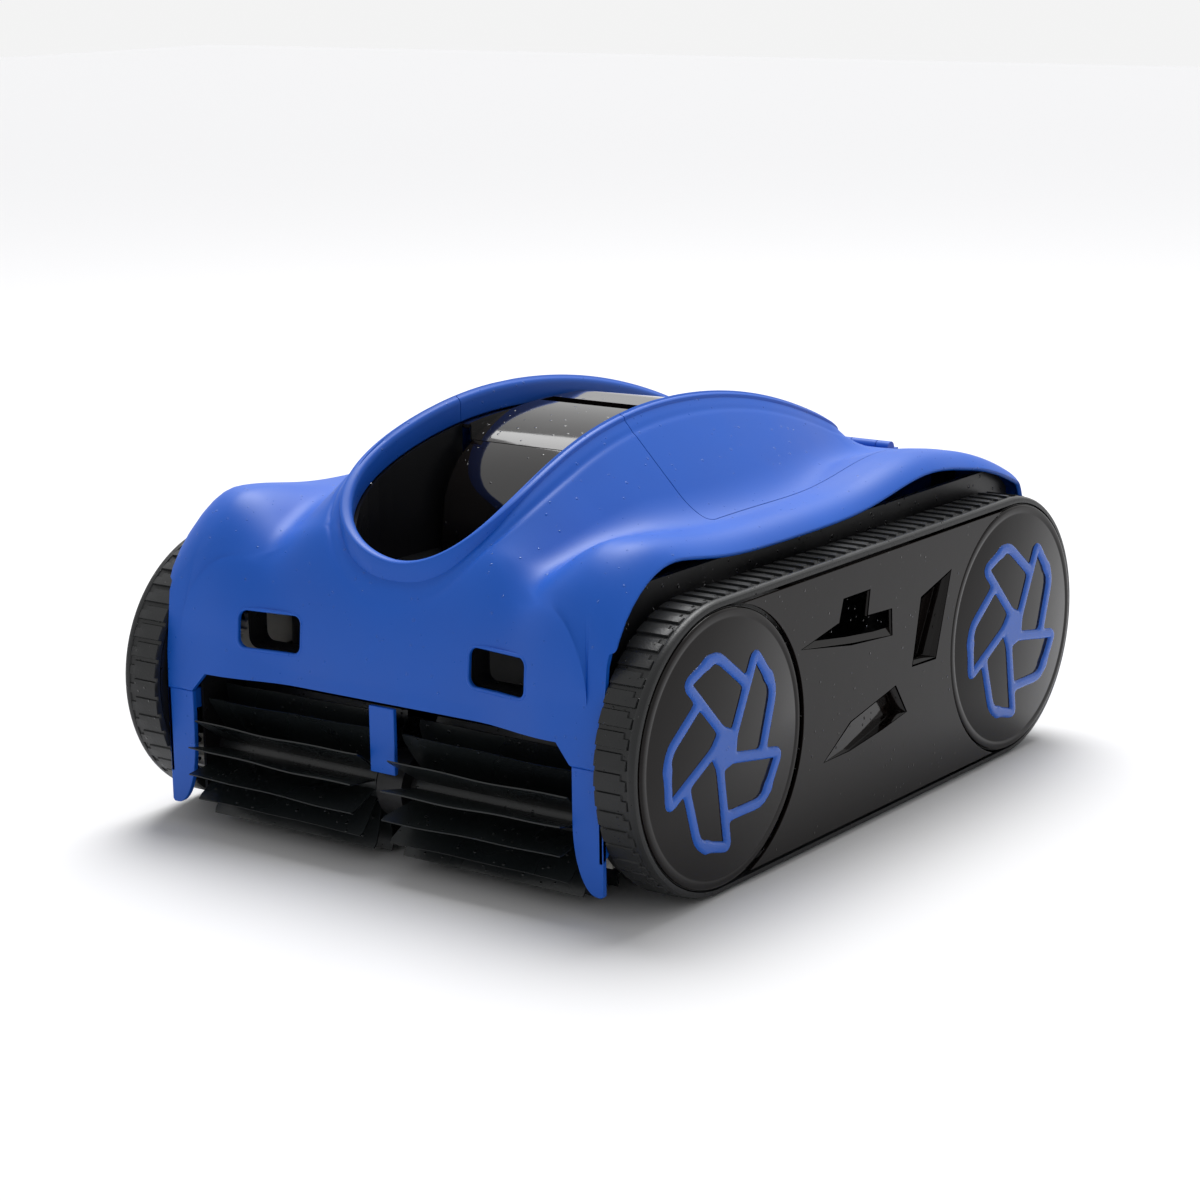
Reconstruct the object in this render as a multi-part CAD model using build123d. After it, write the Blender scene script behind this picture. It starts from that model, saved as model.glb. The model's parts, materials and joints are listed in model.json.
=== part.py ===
from build123d import *
import math
import os

import numpy as np

# Cordless robotic pool cleaner. Millimetres; +X right, -Y front, +Z up.
# Origin: on the ground, under the middle of the machine.

# ---------------------------------------------------------------- driving dimensions
overall_width = 400.0
wheelbase = 346.0
track_radius = 88.5
belt_width = 28.0
belt_carcass = 3.6
belt_rib_height = 1.6
belt_rib_count = 104
belt_rib_share = 0.8
belt_guide_width = 4.0
belt_guide_height = 2.5

shell_half_width = 172.0
shell_wall = 3.0
shell_bottom = 89.0
shell_front = -243.0
shell_rear = 250.0
roll_power = 2.2
seam_gap = 0.6
hoop_section_count = 41

hoop_half_width = 69.6
hoop_tail_half_width = 63.6
hoop_front_centre = -152.0
hoop_front_length = 75.0
hoop_rear_centre = 150.0
hoop_rear_length = 55.0
hoop_nose_z = 185.0
hoop_top_z = 261.0
hoop_top_y = -40.0
hoop_land = 8.0
hoop_band = 16.0
hoop_lift = 3.0

lid_front = -87.0
lid_half_width = 132.0
lid_corner = 5.0
hinge_y = 212.0
hinge_barrel = 4.5
hinge_pin_radius = 2.0

window_x = 88.0
window_z = 133.0
window_width = 46.0
window_height = 24.0

tray_half_width = 144.0
tray_front = -166.0
tray_rear = 236.0
tray_bottom = 14.0
tray_top = 144.0
tray_wall = 3.0

frame_inner_x = 158.0
frame_thickness = 4.0

axle_radius = 6.0
bush_wall = 3.0
gear_module = 2.0
wheel_gear_teeth = 40
brush_gear_teeth = 22
gear_width = 7.0
gear_inner_x = 149.4
tooth_backlash = 0.25

brush_z = 45.0
brush_radius = 44.0
brush_fin_count = 15
brush_fin_thickness = 1.4
brush_core_radius = 13.0
brush_inner_end = 10.6
brush_outer_end = 145.0
brush_rod_radius = 4.0

plate_thickness = 2.0
cap_radius = 82.6
cap_thickness = 2.0
pinwheel_height = 1.6
pinwheel_rib = 5.6

recess_floor = 165.5
liner_wall = 2.5
liner_inset = 7.0
dome_front = -121.0
dome_top_z = 248.0
dome_base_z = 175.0
dome_half_width = 53.0
dome_wall = 3.0

fit = 0.3
running = 0.05

# ---------------------------------------------------------------- derived places
wheel_y = wheelbase / 2
wheel_z = track_radius
belt_outer_x = overall_width / 2 - 3.0
belt_inner_x = belt_outer_x - belt_width
belt_inside_radius = track_radius - belt_rib_height - belt_carcass
wheel_radius = belt_inside_radius - fit
gear_distance = gear_module * (wheel_gear_teeth + brush_gear_teeth) / 2
brush_y = -wheel_y - math.sqrt(gear_distance**2 - (wheel_z - brush_z) ** 2)
cap_inner_x = overall_width / 2 - pinwheel_height - cap_thickness
frame_outer_x = frame_inner_x + frame_thickness
plate_inner_x = belt_outer_x + 0.4


def block(x0, x1, y0, y1, z0, z1):
    """Rectangular block between two corners."""
    return Pos((x0 + x1) / 2, (y0 + y1) / 2, (z0 + z1) / 2) * Box(x1 - x0, y1 - y0, z1 - z0)


def rod_x(radius, x0, x1, y, z):
    """Cylinder along X."""
    return Pos((x0 + x1) / 2, y, z) * Rot(0, 90, 0) * Cylinder(radius, x1 - x0)


def rod_y(radius, y0, y1, x, z):
    """Cylinder along Y."""
    return Pos(x, (y0 + y1) / 2, z) * Rot(90, 0, 0) * Cylinder(radius, y1 - y0)


def side_profile(face, x0, x1):
    """Extrude a face drawn in the Y-Z plane from x0 to x1."""
    return extrude(Plane.YZ.offset(x0) * face, x1 - x0)


def left_of(part):
    """Mirror a right-hand part to the left side."""
    return mirror(part, Plane.YZ)


def save(part, node):
    """Write one node's STEP file, as one solid or a compound of solids."""
    solids = part.solids()
    shape = solids[0] if len(solids) == 1 else Compound(children=list(solids))
    export_step(shape, f"parts/{node}.step")


# ---------------------------------------------------------------- shell surface
def soft_min(a, b, reach):
    """Minimum of two heights with a rounded corner of the given reach."""
    share = np.clip(0.5 + 0.5 * (b - a) / reach, 0.0, 1.0)
    return b * (1 - share) + a * share - reach * share * (1 - share)


def ramp(t):
    """Smooth step from 0 to 1."""
    t = np.clip(t, 0.0, 1.0)
    return t * t * (3 - 2 * t)


def hoop_height(y):
    """Height of the hoop's crest along the machine."""
    rise = hoop_top_z - hoop_nose_z
    reach = hoop_top_y - (hoop_front_centre - hoop_front_length)
    front = hoop_nose_z + rise * np.clip(1 - ((hoop_top_y - y) / reach) ** 2, 0, 1) ** 0.62
    return np.where(y < hoop_top_y, front, hoop_top_z - (y - hoop_top_y) ** 2 / 950)


def hoop_distance(x, y):
    """Plan distance outside the hoop's crest line, and the Y of the nearest crest."""
    s = np.abs(x)
    taper = (hoop_half_width - hoop_tail_half_width) / (hoop_rear_centre - hoop_front_centre)
    flank = s - (hoop_half_width - taper * (y - hoop_front_centre))
    nose = np.clip(hoop_front_centre - y, 0, None)
    tail = np.clip(y - hoop_rear_centre, 0, None)
    nose_share = ((s / hoop_half_width) ** 3 + (nose / hoop_front_length) ** 3) ** (1 / 3)
    tail_share = ((s / hoop_tail_half_width) ** 2.5 + (tail / hoop_rear_length) ** 2.5) ** 0.4
    nose_share = np.maximum(nose_share, 0.02)
    tail_share = np.maximum(tail_share, 0.02)
    nose_gap = (1 - 1 / nose_share) * np.hypot(s, nose)
    tail_gap = (1 - 1 / tail_share) * np.hypot(s, tail)
    gap = np.where(y < hoop_front_centre, nose_gap, np.where(y > hoop_rear_centre, tail_gap, flank))
    crest_nose = hoop_front_centre - nose / nose_share
    crest_tail = hoop_rear_centre + tail / tail_share
    crest = np.where(y < hoop_front_centre, crest_nose, np.where(y > hoop_rear_centre, crest_tail, y))
    return gap, crest


def shell_height(x, y):
    """Height of the shell's outer skin: two fenders, a valley, the sails of the hoop, and rolled ends."""
    s = np.abs(x)
    crest = 199 + 10 * np.exp(-(((y + 195) / 55) ** 2)) + 13 * np.exp(-(((y - 110) / 65) ** 2))
    valley = 176 + 23 * ramp((y + 225) / 120)
    level = valley + (crest - valley) * ramp((s - 80) / 62)
    level = level - 10 * np.clip((s - shell_half_width + 24) / 24, 0, 2) ** 2.5
    gap, crest_y = hoop_distance(x, y)
    nose = np.exp(-(((crest_y - hoop_front_centre + hoop_front_length) / 25) ** 2))
    sail = hoop_height(crest_y) - hoop_lift - 8 * nose - (1.03 - 0.7 * nose) * gap
    top = -soft_min(-sail, -level, 16.0)
    top = top - np.clip(y - 165, 0, None) ** 2 / 288
    corner = 5 * np.clip((s - shell_half_width + 22) / 22, 0, 1.4) ** 3
    top = soft_min(top, 100 + (shell_rear - corner - y) * 8, 60.0)
    fender = ramp((s - 70) / 60)
    foot_y = shell_front + 2 - 7.5 * fender
    foot_z = 110 + 15 * fender
    reach = 26 + 24 * fender + 30 * np.clip((s - 140) / 32, 0, 1) ** 2
    share = np.clip((foot_y + reach - y) / reach, 0, 1)
    rolled = foot_z + (top - foot_z) * (1 - share**roll_power) ** (1 / roll_power)
    return rolled - 10 * np.clip(foot_y - y, 0, None)


def along(points):
    """Turn a plan polyline into a function of its share of length, from 0 to 1."""
    step = np.linalg.norm(np.diff(points, axis=0), axis=1)
    share = np.concatenate([[0], np.cumsum(step)]) / step.sum()
    return lambda t: np.array([np.interp(t, share, points[:, 0]), np.interp(t, share, points[:, 1])])


def hoop_outline(inset):
    """Right half of the hoop's crest line in plan, moved inwards by inset, nose to tail."""
    a = np.linspace(0, np.pi / 2, 60)
    nose = np.stack([hoop_half_width * np.sin(a) ** (2 / 3),
                     hoop_front_centre - hoop_front_length * np.cos(a) ** (2 / 3)], axis=1)
    b = a[::-1]
    tail = np.stack([hoop_tail_half_width * np.sin(b) ** 0.8,
                     hoop_rear_centre + hoop_rear_length * np.cos(b) ** 0.8], axis=1)
    points = np.concatenate([nose, tail])
    keep = along(points)
    points = keep(np.linspace(0, 1, 161)).T
    run = np.gradient(points, axis=0)
    run[[0, -1]] = [[1, 0], [-1, 0]]
    run = run / np.linalg.norm(run, axis=1)[:, None]
    moved = points - inset * np.stack([run[:, 1], -run[:, 0]], axis=1)
    moved[[0, -1], 0] = 0.0
    return moved


def hoop_face(inset):
    """Plan face inside the hoop's outline, at the given inset."""
    half = hoop_outline(inset)
    keep = along(half)
    right = [tuple(keep(t)) for t in 0.5 - 0.5 * np.cos(np.pi * np.linspace(0, 1, 29))]
    left = [(-x, y) for x, y in right[-2:0:-1]]
    return make_face(Spline(*[(x, y, 0) for x, y in right + left], periodic=True))


def shell_outline():
    """Right half of the shell's plan outline, front to rear, with rounded corners."""
    a = np.linspace(0, np.pi / 2, 12)
    r = 8.0
    x, y0, y1 = shell_half_width, shell_front - 10.5, shell_rear + 7
    front = np.stack([x - r + r * np.sin(a), y0 + r - r * np.cos(a)], axis=1)
    rear = np.stack([x - r + r * np.cos(a), y1 - r + r * np.sin(a)], axis=1)
    return np.concatenate([[[0, y0]], front, rear, [[0, y1]]])


hoop_nose_y = hoop_front_centre - hoop_front_length
hoop_tail_y = hoop_rear_centre + hoop_rear_length
hoop_edge = along(hoop_outline(hoop_land / 2))
shell_edge = along(shell_outline())
ray_count = 31
ray_points = 11


def shell_ray(share, depth):
    """One radial section of the skin, from the hoop out to the edge, sunk by depth."""
    start = hoop_edge(share)
    end = shell_edge(share + 0.07 * math.sin(2 * math.pi * share))
    f = np.linspace(0, 1, 400)
    x, y = start[0] + (end[0] - start[0]) * f, start[1] + (end[1] - start[1]) * f
    z = shell_height(x, y)
    length = np.concatenate([[0], np.cumsum(np.sqrt(np.diff(x)**2 + np.diff(y)**2 + np.diff(z)**2))])
    f = np.interp(np.linspace(0, length[-1], ray_points), length, f)
    x, y = start[0] + (end[0] - start[0]) * f, start[1] + (end[1] - start[1]) * f
    z = shell_height(x, y)
    e = 0.1
    gx = (shell_height(x + e, y) - shell_height(x - e, y)) / (2 * e)
    gy = (shell_height(x, y + e) - shell_height(x, y - e)) / (2 * e)
    if share in (0.0, 1.0):
        gx = gx * 0
    n = np.sqrt(gx**2 + gy**2 + 1)
    sunk = zip(x + depth * gx / n, y + depth * gy / n, z - depth / n)
    return [Vector(*p) for p in sunk]


def skin_solid(upper, lower):
    """Right and left halves of a solid lofted over the radial sections.

    upper is the depth of its top below the outer skin; lower is the depth of its underside,
    or None to reach down to the ground."""
    sections = []
    at = list(np.linspace(0, 1, ray_points))
    for share in np.linspace(0, 1, ray_count):
        top = shell_ray(share, upper)
        edges = [Edge.make_spline(top, parameters=at)]
        if lower is None:
            foot = [Vector(p.X, p.Y, 0) for p in (top[0], top[-1])]
            edges += [Edge.make_line(top[-1], foot[1]), Edge.make_line(foot[1], foot[0]),
                      Edge.make_line(foot[0], top[0])]
        else:
            under = shell_ray(share, lower)
            edges += [Edge.make_line(top[-1], under[-1]), Edge.make_spline(under, parameters=at),
                      Edge.make_line(under[0], top[0])]
        sections.append(Wire(edges))
    half = Solid.make_loft(sections, ruled=True)
    return half


def hoop_ring(outset, inset, above, below):
    """Closed ring under the hoop's crest line, between two insets and two heights from the crest.

    below is a height from the crest, or None for the recess floor's underside."""
    sections = []
    outer_line, inner_line = hoop_outline(outset), hoop_outline(inset)
    crest = hoop_height(hoop_outline(0.0)[:, 1])
    picks = [along_index(t) for t in np.linspace(0, 1, hoop_section_count)]
    for i in picks:
        top = float(crest[i]) + above
        low = recess_floor - liner_wall if below is None else float(crest[i]) + below
        corners = [(outer_line[i], top), (inner_line[i], top), (inner_line[i], low), (outer_line[i], low)]
        points = [Vector(float(p[0]), float(p[1]), z) for p, z in corners]
        sections.append(Wire([Edge.make_line(a, b) for a, b in zip(points, points[1:] + points[:1])]))
    half = Solid.make_loft(sections, ruled=True)
    return half + left_of(half)


def along_index(share):
    """Index of the hoop outline's point nearest a share of its length."""
    line = hoop_outline(0.0)
    run = np.concatenate([[0], np.cumsum(np.linalg.norm(np.diff(line, axis=0), axis=1))])
    return int(np.argmin(np.abs(run / run[-1] - share)))


def hoop_profile(above, below):
    """Y-Z face between two heights that follow the hoop's crest from nose to tail."""
    ys = np.linspace(hoop_nose_y, hoop_tail_y, 15)
    top = [(y, float(hoop_height(y)) + above) for y in ys]
    low = [(y, float(hoop_height(y)) + below) for y in ys]
    edge = Spline(*top) + Line(top[-1], low[-1]) + Spline(*low[::-1]) + Line(low[0], top[0])
    return make_face(edge)


# ---------------------------------------------------------------- covers
skin_half = skin_solid(0.0, shell_wall) & block(0, 300, -300, 300, shell_bottom, 400)
core_half = skin_solid(shell_wall + fit, None)
hoop_solid = hoop_ring(0.0, hoop_land, 0.0, -hoop_band)

front_window = extrude(Plane.XZ.offset(200) * Pos(window_x, window_z) *
                       RectangleRounded(window_width, window_height, 6), 80)
bay_outline = Polyline((0, 60), (147, 60), (147, 89), (136, 101.4), (0, 99.4), close=True)
front_bay = extrude(Plane.XZ.offset(200) * make_face(bay_outline), 80)
belt_clear_face = SlotCenterToCenter(wheelbase, 2 * (track_radius + 8.0))
belt_clearance = side_profile(Pos(0, wheel_z) * belt_clear_face, belt_inner_x - 2 * fit, 220)

right_half = skin_half - front_window - front_bay - belt_clearance
whole_skin = right_half + left_of(right_half) + hoop_solid

hinge_z = float(np.max(shell_height(np.linspace(0, lid_half_width, 60), np.full(60, hinge_y)))) + 0.5
lid_plan = Pos(0, (lid_front + hinge_y) / 2) * Rectangle(2 * lid_half_width, hinge_y - lid_front)
lid_plan = fillet(lid_plan.vertices().sort_by(Axis.Y)[:2], lid_corner)
lid_hole = extrude(Plane.XY.offset(150) * lid_plan, 200)
lid_slab = extrude(Plane.XY.offset(150) * offset(lid_plan, -seam_gap), 200)
knuckle_x = 60.0
knuckle_width = 20.0
bracket_width = 10.0


def hinge_barrels(width, centres, side):
    """Hinge barrels with a short arm forward (side -1) or backward (side +1)."""
    part = None
    for x in centres:
        barrel = rod_x(hinge_barrel, x - width / 2, x + width / 2, hinge_y, hinge_z)
        arm = block(x - width / 2, x + width / 2, hinge_y + min(0, 10 * side),
                    hinge_y + max(0, 10 * side), hinge_z - hinge_barrel - 1, hinge_z - 1)
        part = barrel + arm if part is None else part + barrel + arm
    return part


bracket_offset = (knuckle_width + bracket_width) / 2 + 0.5
bracket_centres = [s * knuckle_x + t * bracket_offset for s in (-1, 1) for t in (-1, 1)]
lid_centres = [-knuckle_x, knuckle_x]


def hinge_pockets(width, centres):
    """Room around barrels of the other leaf."""
    part = None
    for x in centres:
        pocket = rod_x(hinge_barrel + 0.8, x - width / 2 - 0.5, x + width / 2 + 0.5, hinge_y, hinge_z)
        part = pocket if part is None else part + pocket
    return part


pin_hole = rod_x(hinge_pin_radius + running, -120, 120, hinge_y, hinge_z)
button_x, button_z, button_radius = 90.0, 125.0, 9.0
port_x, port_z, port_radius = -90.0, 125.0, 13.0
lens_z, lens_radius = 146.0, 3.0
outlet_z, outlet_radius = 125.0, 30.0


def rear_holes():
    """Openings through the rear face for the button, charging port, lens and jet outlet."""
    return (rod_y(button_radius + fit, 225, 275, button_x, button_z)
            + rod_y(port_radius + 0.5, 225, 275, port_x, port_z)
            + rod_y(lens_radius, 225, 275, button_x, lens_z)
            + rod_y(outlet_radius, 225, 275, 0, outlet_z))


lid_room = hinge_pockets(knuckle_width, lid_centres)
bracket_room = hinge_pockets(bracket_width, bracket_centres)
top_shell = whole_skin - lid_hole - rear_holes() - lid_room
top_shell = top_shell + hinge_barrels(bracket_width, bracket_centres, 1) - pin_hole
lid = (whole_skin & lid_slab) - bracket_room + hinge_barrels(knuckle_width, lid_centres, -1) - pin_hole
hinge_pins = None
for x in lid_centres:
    half_pin = knuckle_width / 2 + bracket_width
    pin = rod_x(hinge_pin_radius, x - half_pin, x + half_pin, hinge_y, hinge_z)
    hinge_pins = pin if hinge_pins is None else hinge_pins + pin

# ---------------------------------------------------------------- inside the covers
core_room = core_half + left_of(core_half)
battery_y0, battery_y1 = -160.0, -82.0
basket_half, basket_y0, basket_y1 = 105.0, -72.0, 186.0
basket_floor, basket_top = 24.0, 140.0
inlet_half, inlet_y0, inlet_y1 = 60.0, -20.0, 20.0
motor_radius = 17.0
cheek_inner_x = brush_outer_end + 1.4
cheek_wall = 2.0
bracket_radius = 21.0
post_x, post_rear_y = 118.0, 219.5
screw_radius = 2.0


def mount_posts():
    """Pillars that carry the shell, with their tops just under its skin."""
    part = None
    for x in (-post_x, post_x):
        for y in (-150.0, post_rear_y):
            post = block(x - 6, x + 6, y - 6, y + 6, tray_bottom + 1, 300)
            part = post if part is None else part + post
    return part & core_room


def screw_places():
    """Centres of the screws under the four mount posts."""
    return [(x, y) for x in (-post_x, post_x) for y in (-150.0, post_rear_y)]


def base_tray_part():
    """Open tub with cheeks beside the brushes, the brush bracket and the mount posts."""
    outer = block(-tray_half_width, tray_half_width, tray_front, tray_rear, tray_bottom, tray_top)
    outer = fillet(outer.edges().filter_by(Axis.Z), 8.0)
    outer = chamfer(outer.faces().sort_by(Axis.Z)[0].edges(), 4.0)
    inner = block(-tray_half_width + tray_wall, tray_half_width - tray_wall, tray_front + tray_wall,
                  tray_rear - tray_wall, tray_bottom + tray_wall, tray_top + 10)
    inner = fillet(inner.edges().filter_by(Axis.Z), 5.0)
    tub = outer - inner
    tub = tub + (mount_posts() - block(-300, 300, -300, 300, 0, tray_bottom + 1))
    cheek_face = make_face(Polyline((-242, 20), (-236, tray_bottom), (-150, tray_bottom), (-150, 101),
                                    (-240, 101), (-242, 98), close=True))
    cheek = side_profile(cheek_face, cheek_inner_x, cheek_inner_x + cheek_wall)
    cheek = cheek + block(tray_half_width - 1, cheek_inner_x + cheek_wall, -156, -150, tray_bottom, 101)
    cheek = cheek - rod_x(brush_core_radius + 0.6, 140, 160, brush_y, brush_z)
    cheek = cheek - rod_x(axle_radius + running, 140, 160, -wheel_y, wheel_z)
    tub = tub + cheek + left_of(cheek)
    disc = rod_x(bracket_radius, -brush_inner_end + 1, brush_inner_end - 1, brush_y, brush_z)
    arm = block(-5, 5, brush_y, tray_front + 1, brush_z - 12, brush_z + 12)
    tub = tub + disc + arm - rod_x(brush_rod_radius + running, -20, 20, brush_y, brush_z)
    tub = tub - block(-inlet_half, inlet_half, inlet_y0, inlet_y1, 0, 40)
    tub = tub - rod_x(axle_radius + 2, 130, 150, wheel_y, wheel_z)
    tub = tub - rod_x(axle_radius + 2, -150, -130, wheel_y, wheel_z)
    tub = tub - rod_y(outlet_radius, tray_rear - 10, tray_rear + 10, 0, outlet_z)
    for x, y in screw_places():
        tub = tub - Pos(x, y, 25) * Cylinder(screw_radius + running, 30)
        tub = tub - Pos(x, y, tray_bottom + 2) * Cylinder(2 * screw_radius + 0.2, 5)
    return tub


def shell_screw_parts():
    """Four screws up into the mount posts."""
    part = None
    for x, y in screw_places():
        screw = Pos(x, y, 27) * Cylinder(screw_radius, 20) + Pos(x, y, 16) * Cylinder(2 * screw_radius, 3)
        part = screw if part is None else part + screw
    return part


def front_frame_part():
    """Blue posts beside and between the brushes, joined by a bar behind the shell's front."""
    top = shell_bottom - fit
    post_out = belt_inner_x - 2 * fit
    face = shell_front - 8
    post = block(147, post_out, face, face + 3, tray_bottom, top)
    post = post + block(147, 150, face, face + 8, tray_bottom, top)
    post = post + block(post_out - 3, post_out, face, face + 8, tray_bottom, top)
    post = post + block(150, frame_inner_x - 0.4, face + 10, face + 16, 76, 107)
    post = post + block(150, frame_inner_x - 0.4, face + 1, face + 11, 76, top)
    centre_x = brush_inner_end - 1
    centre = block(-centre_x, centre_x, shell_front, shell_front + 3, tray_bottom + 2, 99)
    centre = centre + block(-centre_x, centre_x, shell_front + 3, shell_front + 4.4, 90, 98)
    centre = centre + block(-centre_x, centre_x, shell_front + 4, shell_front + 9, 91, 97)
    centre = centre + block(-centre_x, centre_x, shell_front + 5, shell_front + 9, 97, 107)
    bar = block(-frame_inner_x + 0.4, frame_inner_x - 0.4, shell_front + 5, shell_front + 9, 102, 107)
    return post + left_of(post) + centre + bar


def rear_frame_part():
    """Rear lower skirt under the shell."""
    top = shell_bottom - fit
    wall = block(-157, 157, shell_rear - 2, shell_rear + 1, tray_bottom + 4, top)
    flange = block(-140, 140, tray_rear + fit, shell_rear, tray_bottom + 4, tray_bottom + 7)
    ribs = None
    for x in (-100, -50, 0, 50, 100):
        rib = block(x - 1.5, x + 1.5, tray_rear + fit, shell_rear, tray_bottom + 4, top - 20)
        ribs = rib if ribs is None else ribs + rib
    return wall + flange + ribs


def track_frame_part():
    """Right inner side frame: the plate behind the belt, up to the shell, with bosses."""
    face = Pos(0, 99) * RectangleRounded(484, 176, 50)
    plate = side_profile(face, frame_inner_x, frame_outer_x) & core_half
    rail = block(frame_outer_x - 1, belt_outer_x - 4, -70, 70, track_radius * 2 - 18, track_radius * 2 - 14)
    rail = rail + block(frame_outer_x - 1, belt_outer_x - 4, -70, 70, 14, 18)
    plate = plate + rail
    for y in (-wheel_y, wheel_y):
        plate = plate - rod_x(axle_radius + bush_wall + running, 150, 170, y, wheel_z)
    plate = plate - rod_x(brush_rod_radius + running, 150, 170, brush_y, brush_z)
    for y, z in boss_places:
        plate = plate - rod_x(screw_radius + running, 150, 170, y, z)
    return plate


boss_places = [(y, z) for y in (-55.0, 55.0) for z in (52.0, 128.0)]


def side_plate_part():
    """Right glossy side plate between the hub discs, with three scoops and four bosses."""
    outline = make_face(Polyline((-160, 8), (160, 8), (160, 171), (-160, 171), close=True))
    for y in (-wheel_y, wheel_y):
        outline = outline - Pos(y, wheel_z) * Circle(cap_radius + 2.0)
    hole = make_face(Polyline((-43, 150), (-15, 150), (-18, 138), (-49, 136), close=True))
    hole = hole + make_face(Polyline((50, 132), (86, 143), (69, 92), (40, 93), close=True))
    hole = hole + make_face(Polyline((-34, 72), (18, 82), (32, 63), (0, 58), close=True))
    plate = side_profile(outline - hole, plate_inner_x, plate_inner_x + plate_thickness)
    for y, z in boss_places:
        boss = rod_x(6.0, frame_outer_x, plate_inner_x, y, z)
        plate = plate + boss - rod_x(screw_radius + running, frame_outer_x - 1, frame_outer_x + 16, y, z)
    return plate


def plate_screw_parts():
    """Screws from inside the track frame into the side plate's bosses."""
    part = None
    for y, z in boss_places:
        screw = rod_x(screw_radius, frame_inner_x - 0.5, frame_outer_x + 14, y, z)
        screw = screw + rod_x(2 * screw_radius, frame_inner_x - 3, frame_inner_x, y, z)
        part = screw if part is None else part + screw
    return part


# ---------------------------------------------------------------- tracks and wheels
def belt_part():
    """Right track belt: a stadium loop with cross ribs outside and a guide ridge inside."""
    low = track_radius - belt_rib_height
    straight, bend = wheelbase, math.pi * track_radius
    pitch = 2 * (straight + bend) / belt_rib_count
    points = []

    def place(s, r):
        """Point at distance s along the loop, at radius r from the wheel centres."""
        s = s % (2 * (straight + bend))
        if s < straight:
            return (-wheel_y + s, wheel_z + r)
        if s < straight + bend:
            a = math.pi / 2 - (s - straight) / track_radius
            return (wheel_y + r * math.cos(a), wheel_z + r * math.sin(a))
        if s < 2 * straight + bend:
            return (wheel_y - (s - straight - bend), wheel_z - r)
        a = -math.pi / 2 - (s - 2 * straight - bend) / track_radius
        return (-wheel_y + r * math.cos(a), wheel_z + r * math.sin(a))

    for i in range(belt_rib_count):
        s0 = i * pitch
        s1 = s0 + pitch * belt_rib_share
        points += [place(s0, low), place(s0, track_radius), place(s1, track_radius), place(s1, low)]
    outer = make_face(Polyline(*points, close=True))
    inner = Pos(0, wheel_z) * SlotCenterToCenter(wheelbase, 2 * belt_inside_radius)
    ridge_hole = Pos(0, wheel_z) * SlotCenterToCenter(
        wheelbase, 2 * (belt_inside_radius - belt_guide_height))
    belt = side_profile(outer - inner, belt_inner_x, belt_outer_x)
    middle = (belt_inner_x + belt_outer_x) / 2
    ridge = side_profile(inner - ridge_hole, middle - belt_guide_width / 2, middle + belt_guide_width / 2)
    return belt + ridge


def wheel_part(y):
    """Right wheel: rim with a groove for the guide ridge, dished web and hub."""
    x0, x1 = belt_inner_x + 0.5, cap_inner_x
    middle = (belt_inner_x + belt_outer_x) / 2
    groove = belt_guide_width / 2 + 0.6
    depth = belt_guide_height + 0.5
    r = wheel_radius
    ring = make_face(Polyline((r - 7, x0), (r, x0), (r, middle - groove), (r - depth, middle - groove),
                              (r - depth, middle + groove), (r, middle + groove), (r, x1), (r - 7, x1),
                              (r - 7, middle + 2), (14, middle + 4), (14, x1 - 4), (axle_radius, x1 - 4),
                              (axle_radius, x0), (14, x0), (14, middle), (r - 7, middle - 2), close=True))
    turned = revolve(Plane.XZ * ring, Axis.Z)
    return Pos(0, y, wheel_z) * Rot(0, 90, 0) * turned


def cap_part(y):
    """Right hub disc: a shallow disc with a rounded rim, seated on the wheel."""
    disc = rod_x(cap_radius, cap_inner_x, cap_inner_x + cap_thickness, y, wheel_z)
    rim = disc.edges().filter_by(GeomType.CIRCLE).sort_by(Axis.X)[-1]
    return fillet(rim, 1.2)


def blade_points(turn):
    """Corners of one blade of the pinwheel: hub end, tip, outer corner and joint on the next blade."""
    polar = [(6.0, -85.0), (60.0, 0.0), (58.6, -30.6), (41.7, -69.7)]
    return [(r * math.cos(math.radians(a + turn)), r * math.sin(math.radians(a + turn))) for r, a in polar]


def pinwheel_part(y):
    """Right pinwheel: five bent blades of one rib width around a small hub."""
    face = Circle(11.5)
    for k in range(5):
        corners = blade_points(129.0 - 72.0 * k)
        for a, b in zip(corners, corners[1:]):
            length = math.hypot(b[0] - a[0], b[1] - a[1])
            angle = math.degrees(math.atan2(b[1] - a[1], b[0] - a[0]))
            middle = Pos((a[0] + b[0]) / 2, (a[1] + b[1]) / 2) * Rot(0, 0, angle)
            face = face + middle * SlotCenterToCenter(length, pinwheel_rib)
    x0 = cap_inner_x + cap_thickness
    return side_profile(Pos(y, wheel_z) * face, x0, x0 + pinwheel_height)


def gear_face(teeth, phase):
    """Gear with straight-flanked teeth, in plan, one tooth centred at the phase angle in degrees."""
    pitch_r = gear_module * teeth / 2
    tip, root = pitch_r + 0.9 * gear_module, pitch_r - 1.15 * gear_module
    step = 2 * math.pi / teeth
    points = []
    for i in range(teeth):
        middle = math.radians(phase) + i * step
        wide = step / 4 - tooth_backlash / pitch_r
        flank = 0.9 * gear_module * math.tan(math.radians(20)) / pitch_r
        for r, half in ((root, wide + 1.15 * flank), (tip, wide - flank)):
            points.append((r, middle - half))
        for r, half in ((tip, wide - flank), (root, wide + 1.15 * flank)):
            points.append((r, middle + half))
    return make_face(Polyline(*[(r * math.cos(a), r * math.sin(a)) for r, a in points], close=True))


line_angle = math.degrees(math.atan2(brush_z - wheel_z, brush_y + wheel_y))
gear_outer_x = gear_inner_x + gear_width


def wheel_gear_part():
    """Gear on the right front axle that drives the brush."""
    face = Pos(-wheel_y, wheel_z) * (gear_face(wheel_gear_teeth, line_angle) - Circle(axle_radius))
    return side_profile(face, gear_inner_x, gear_outer_x)


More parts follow.
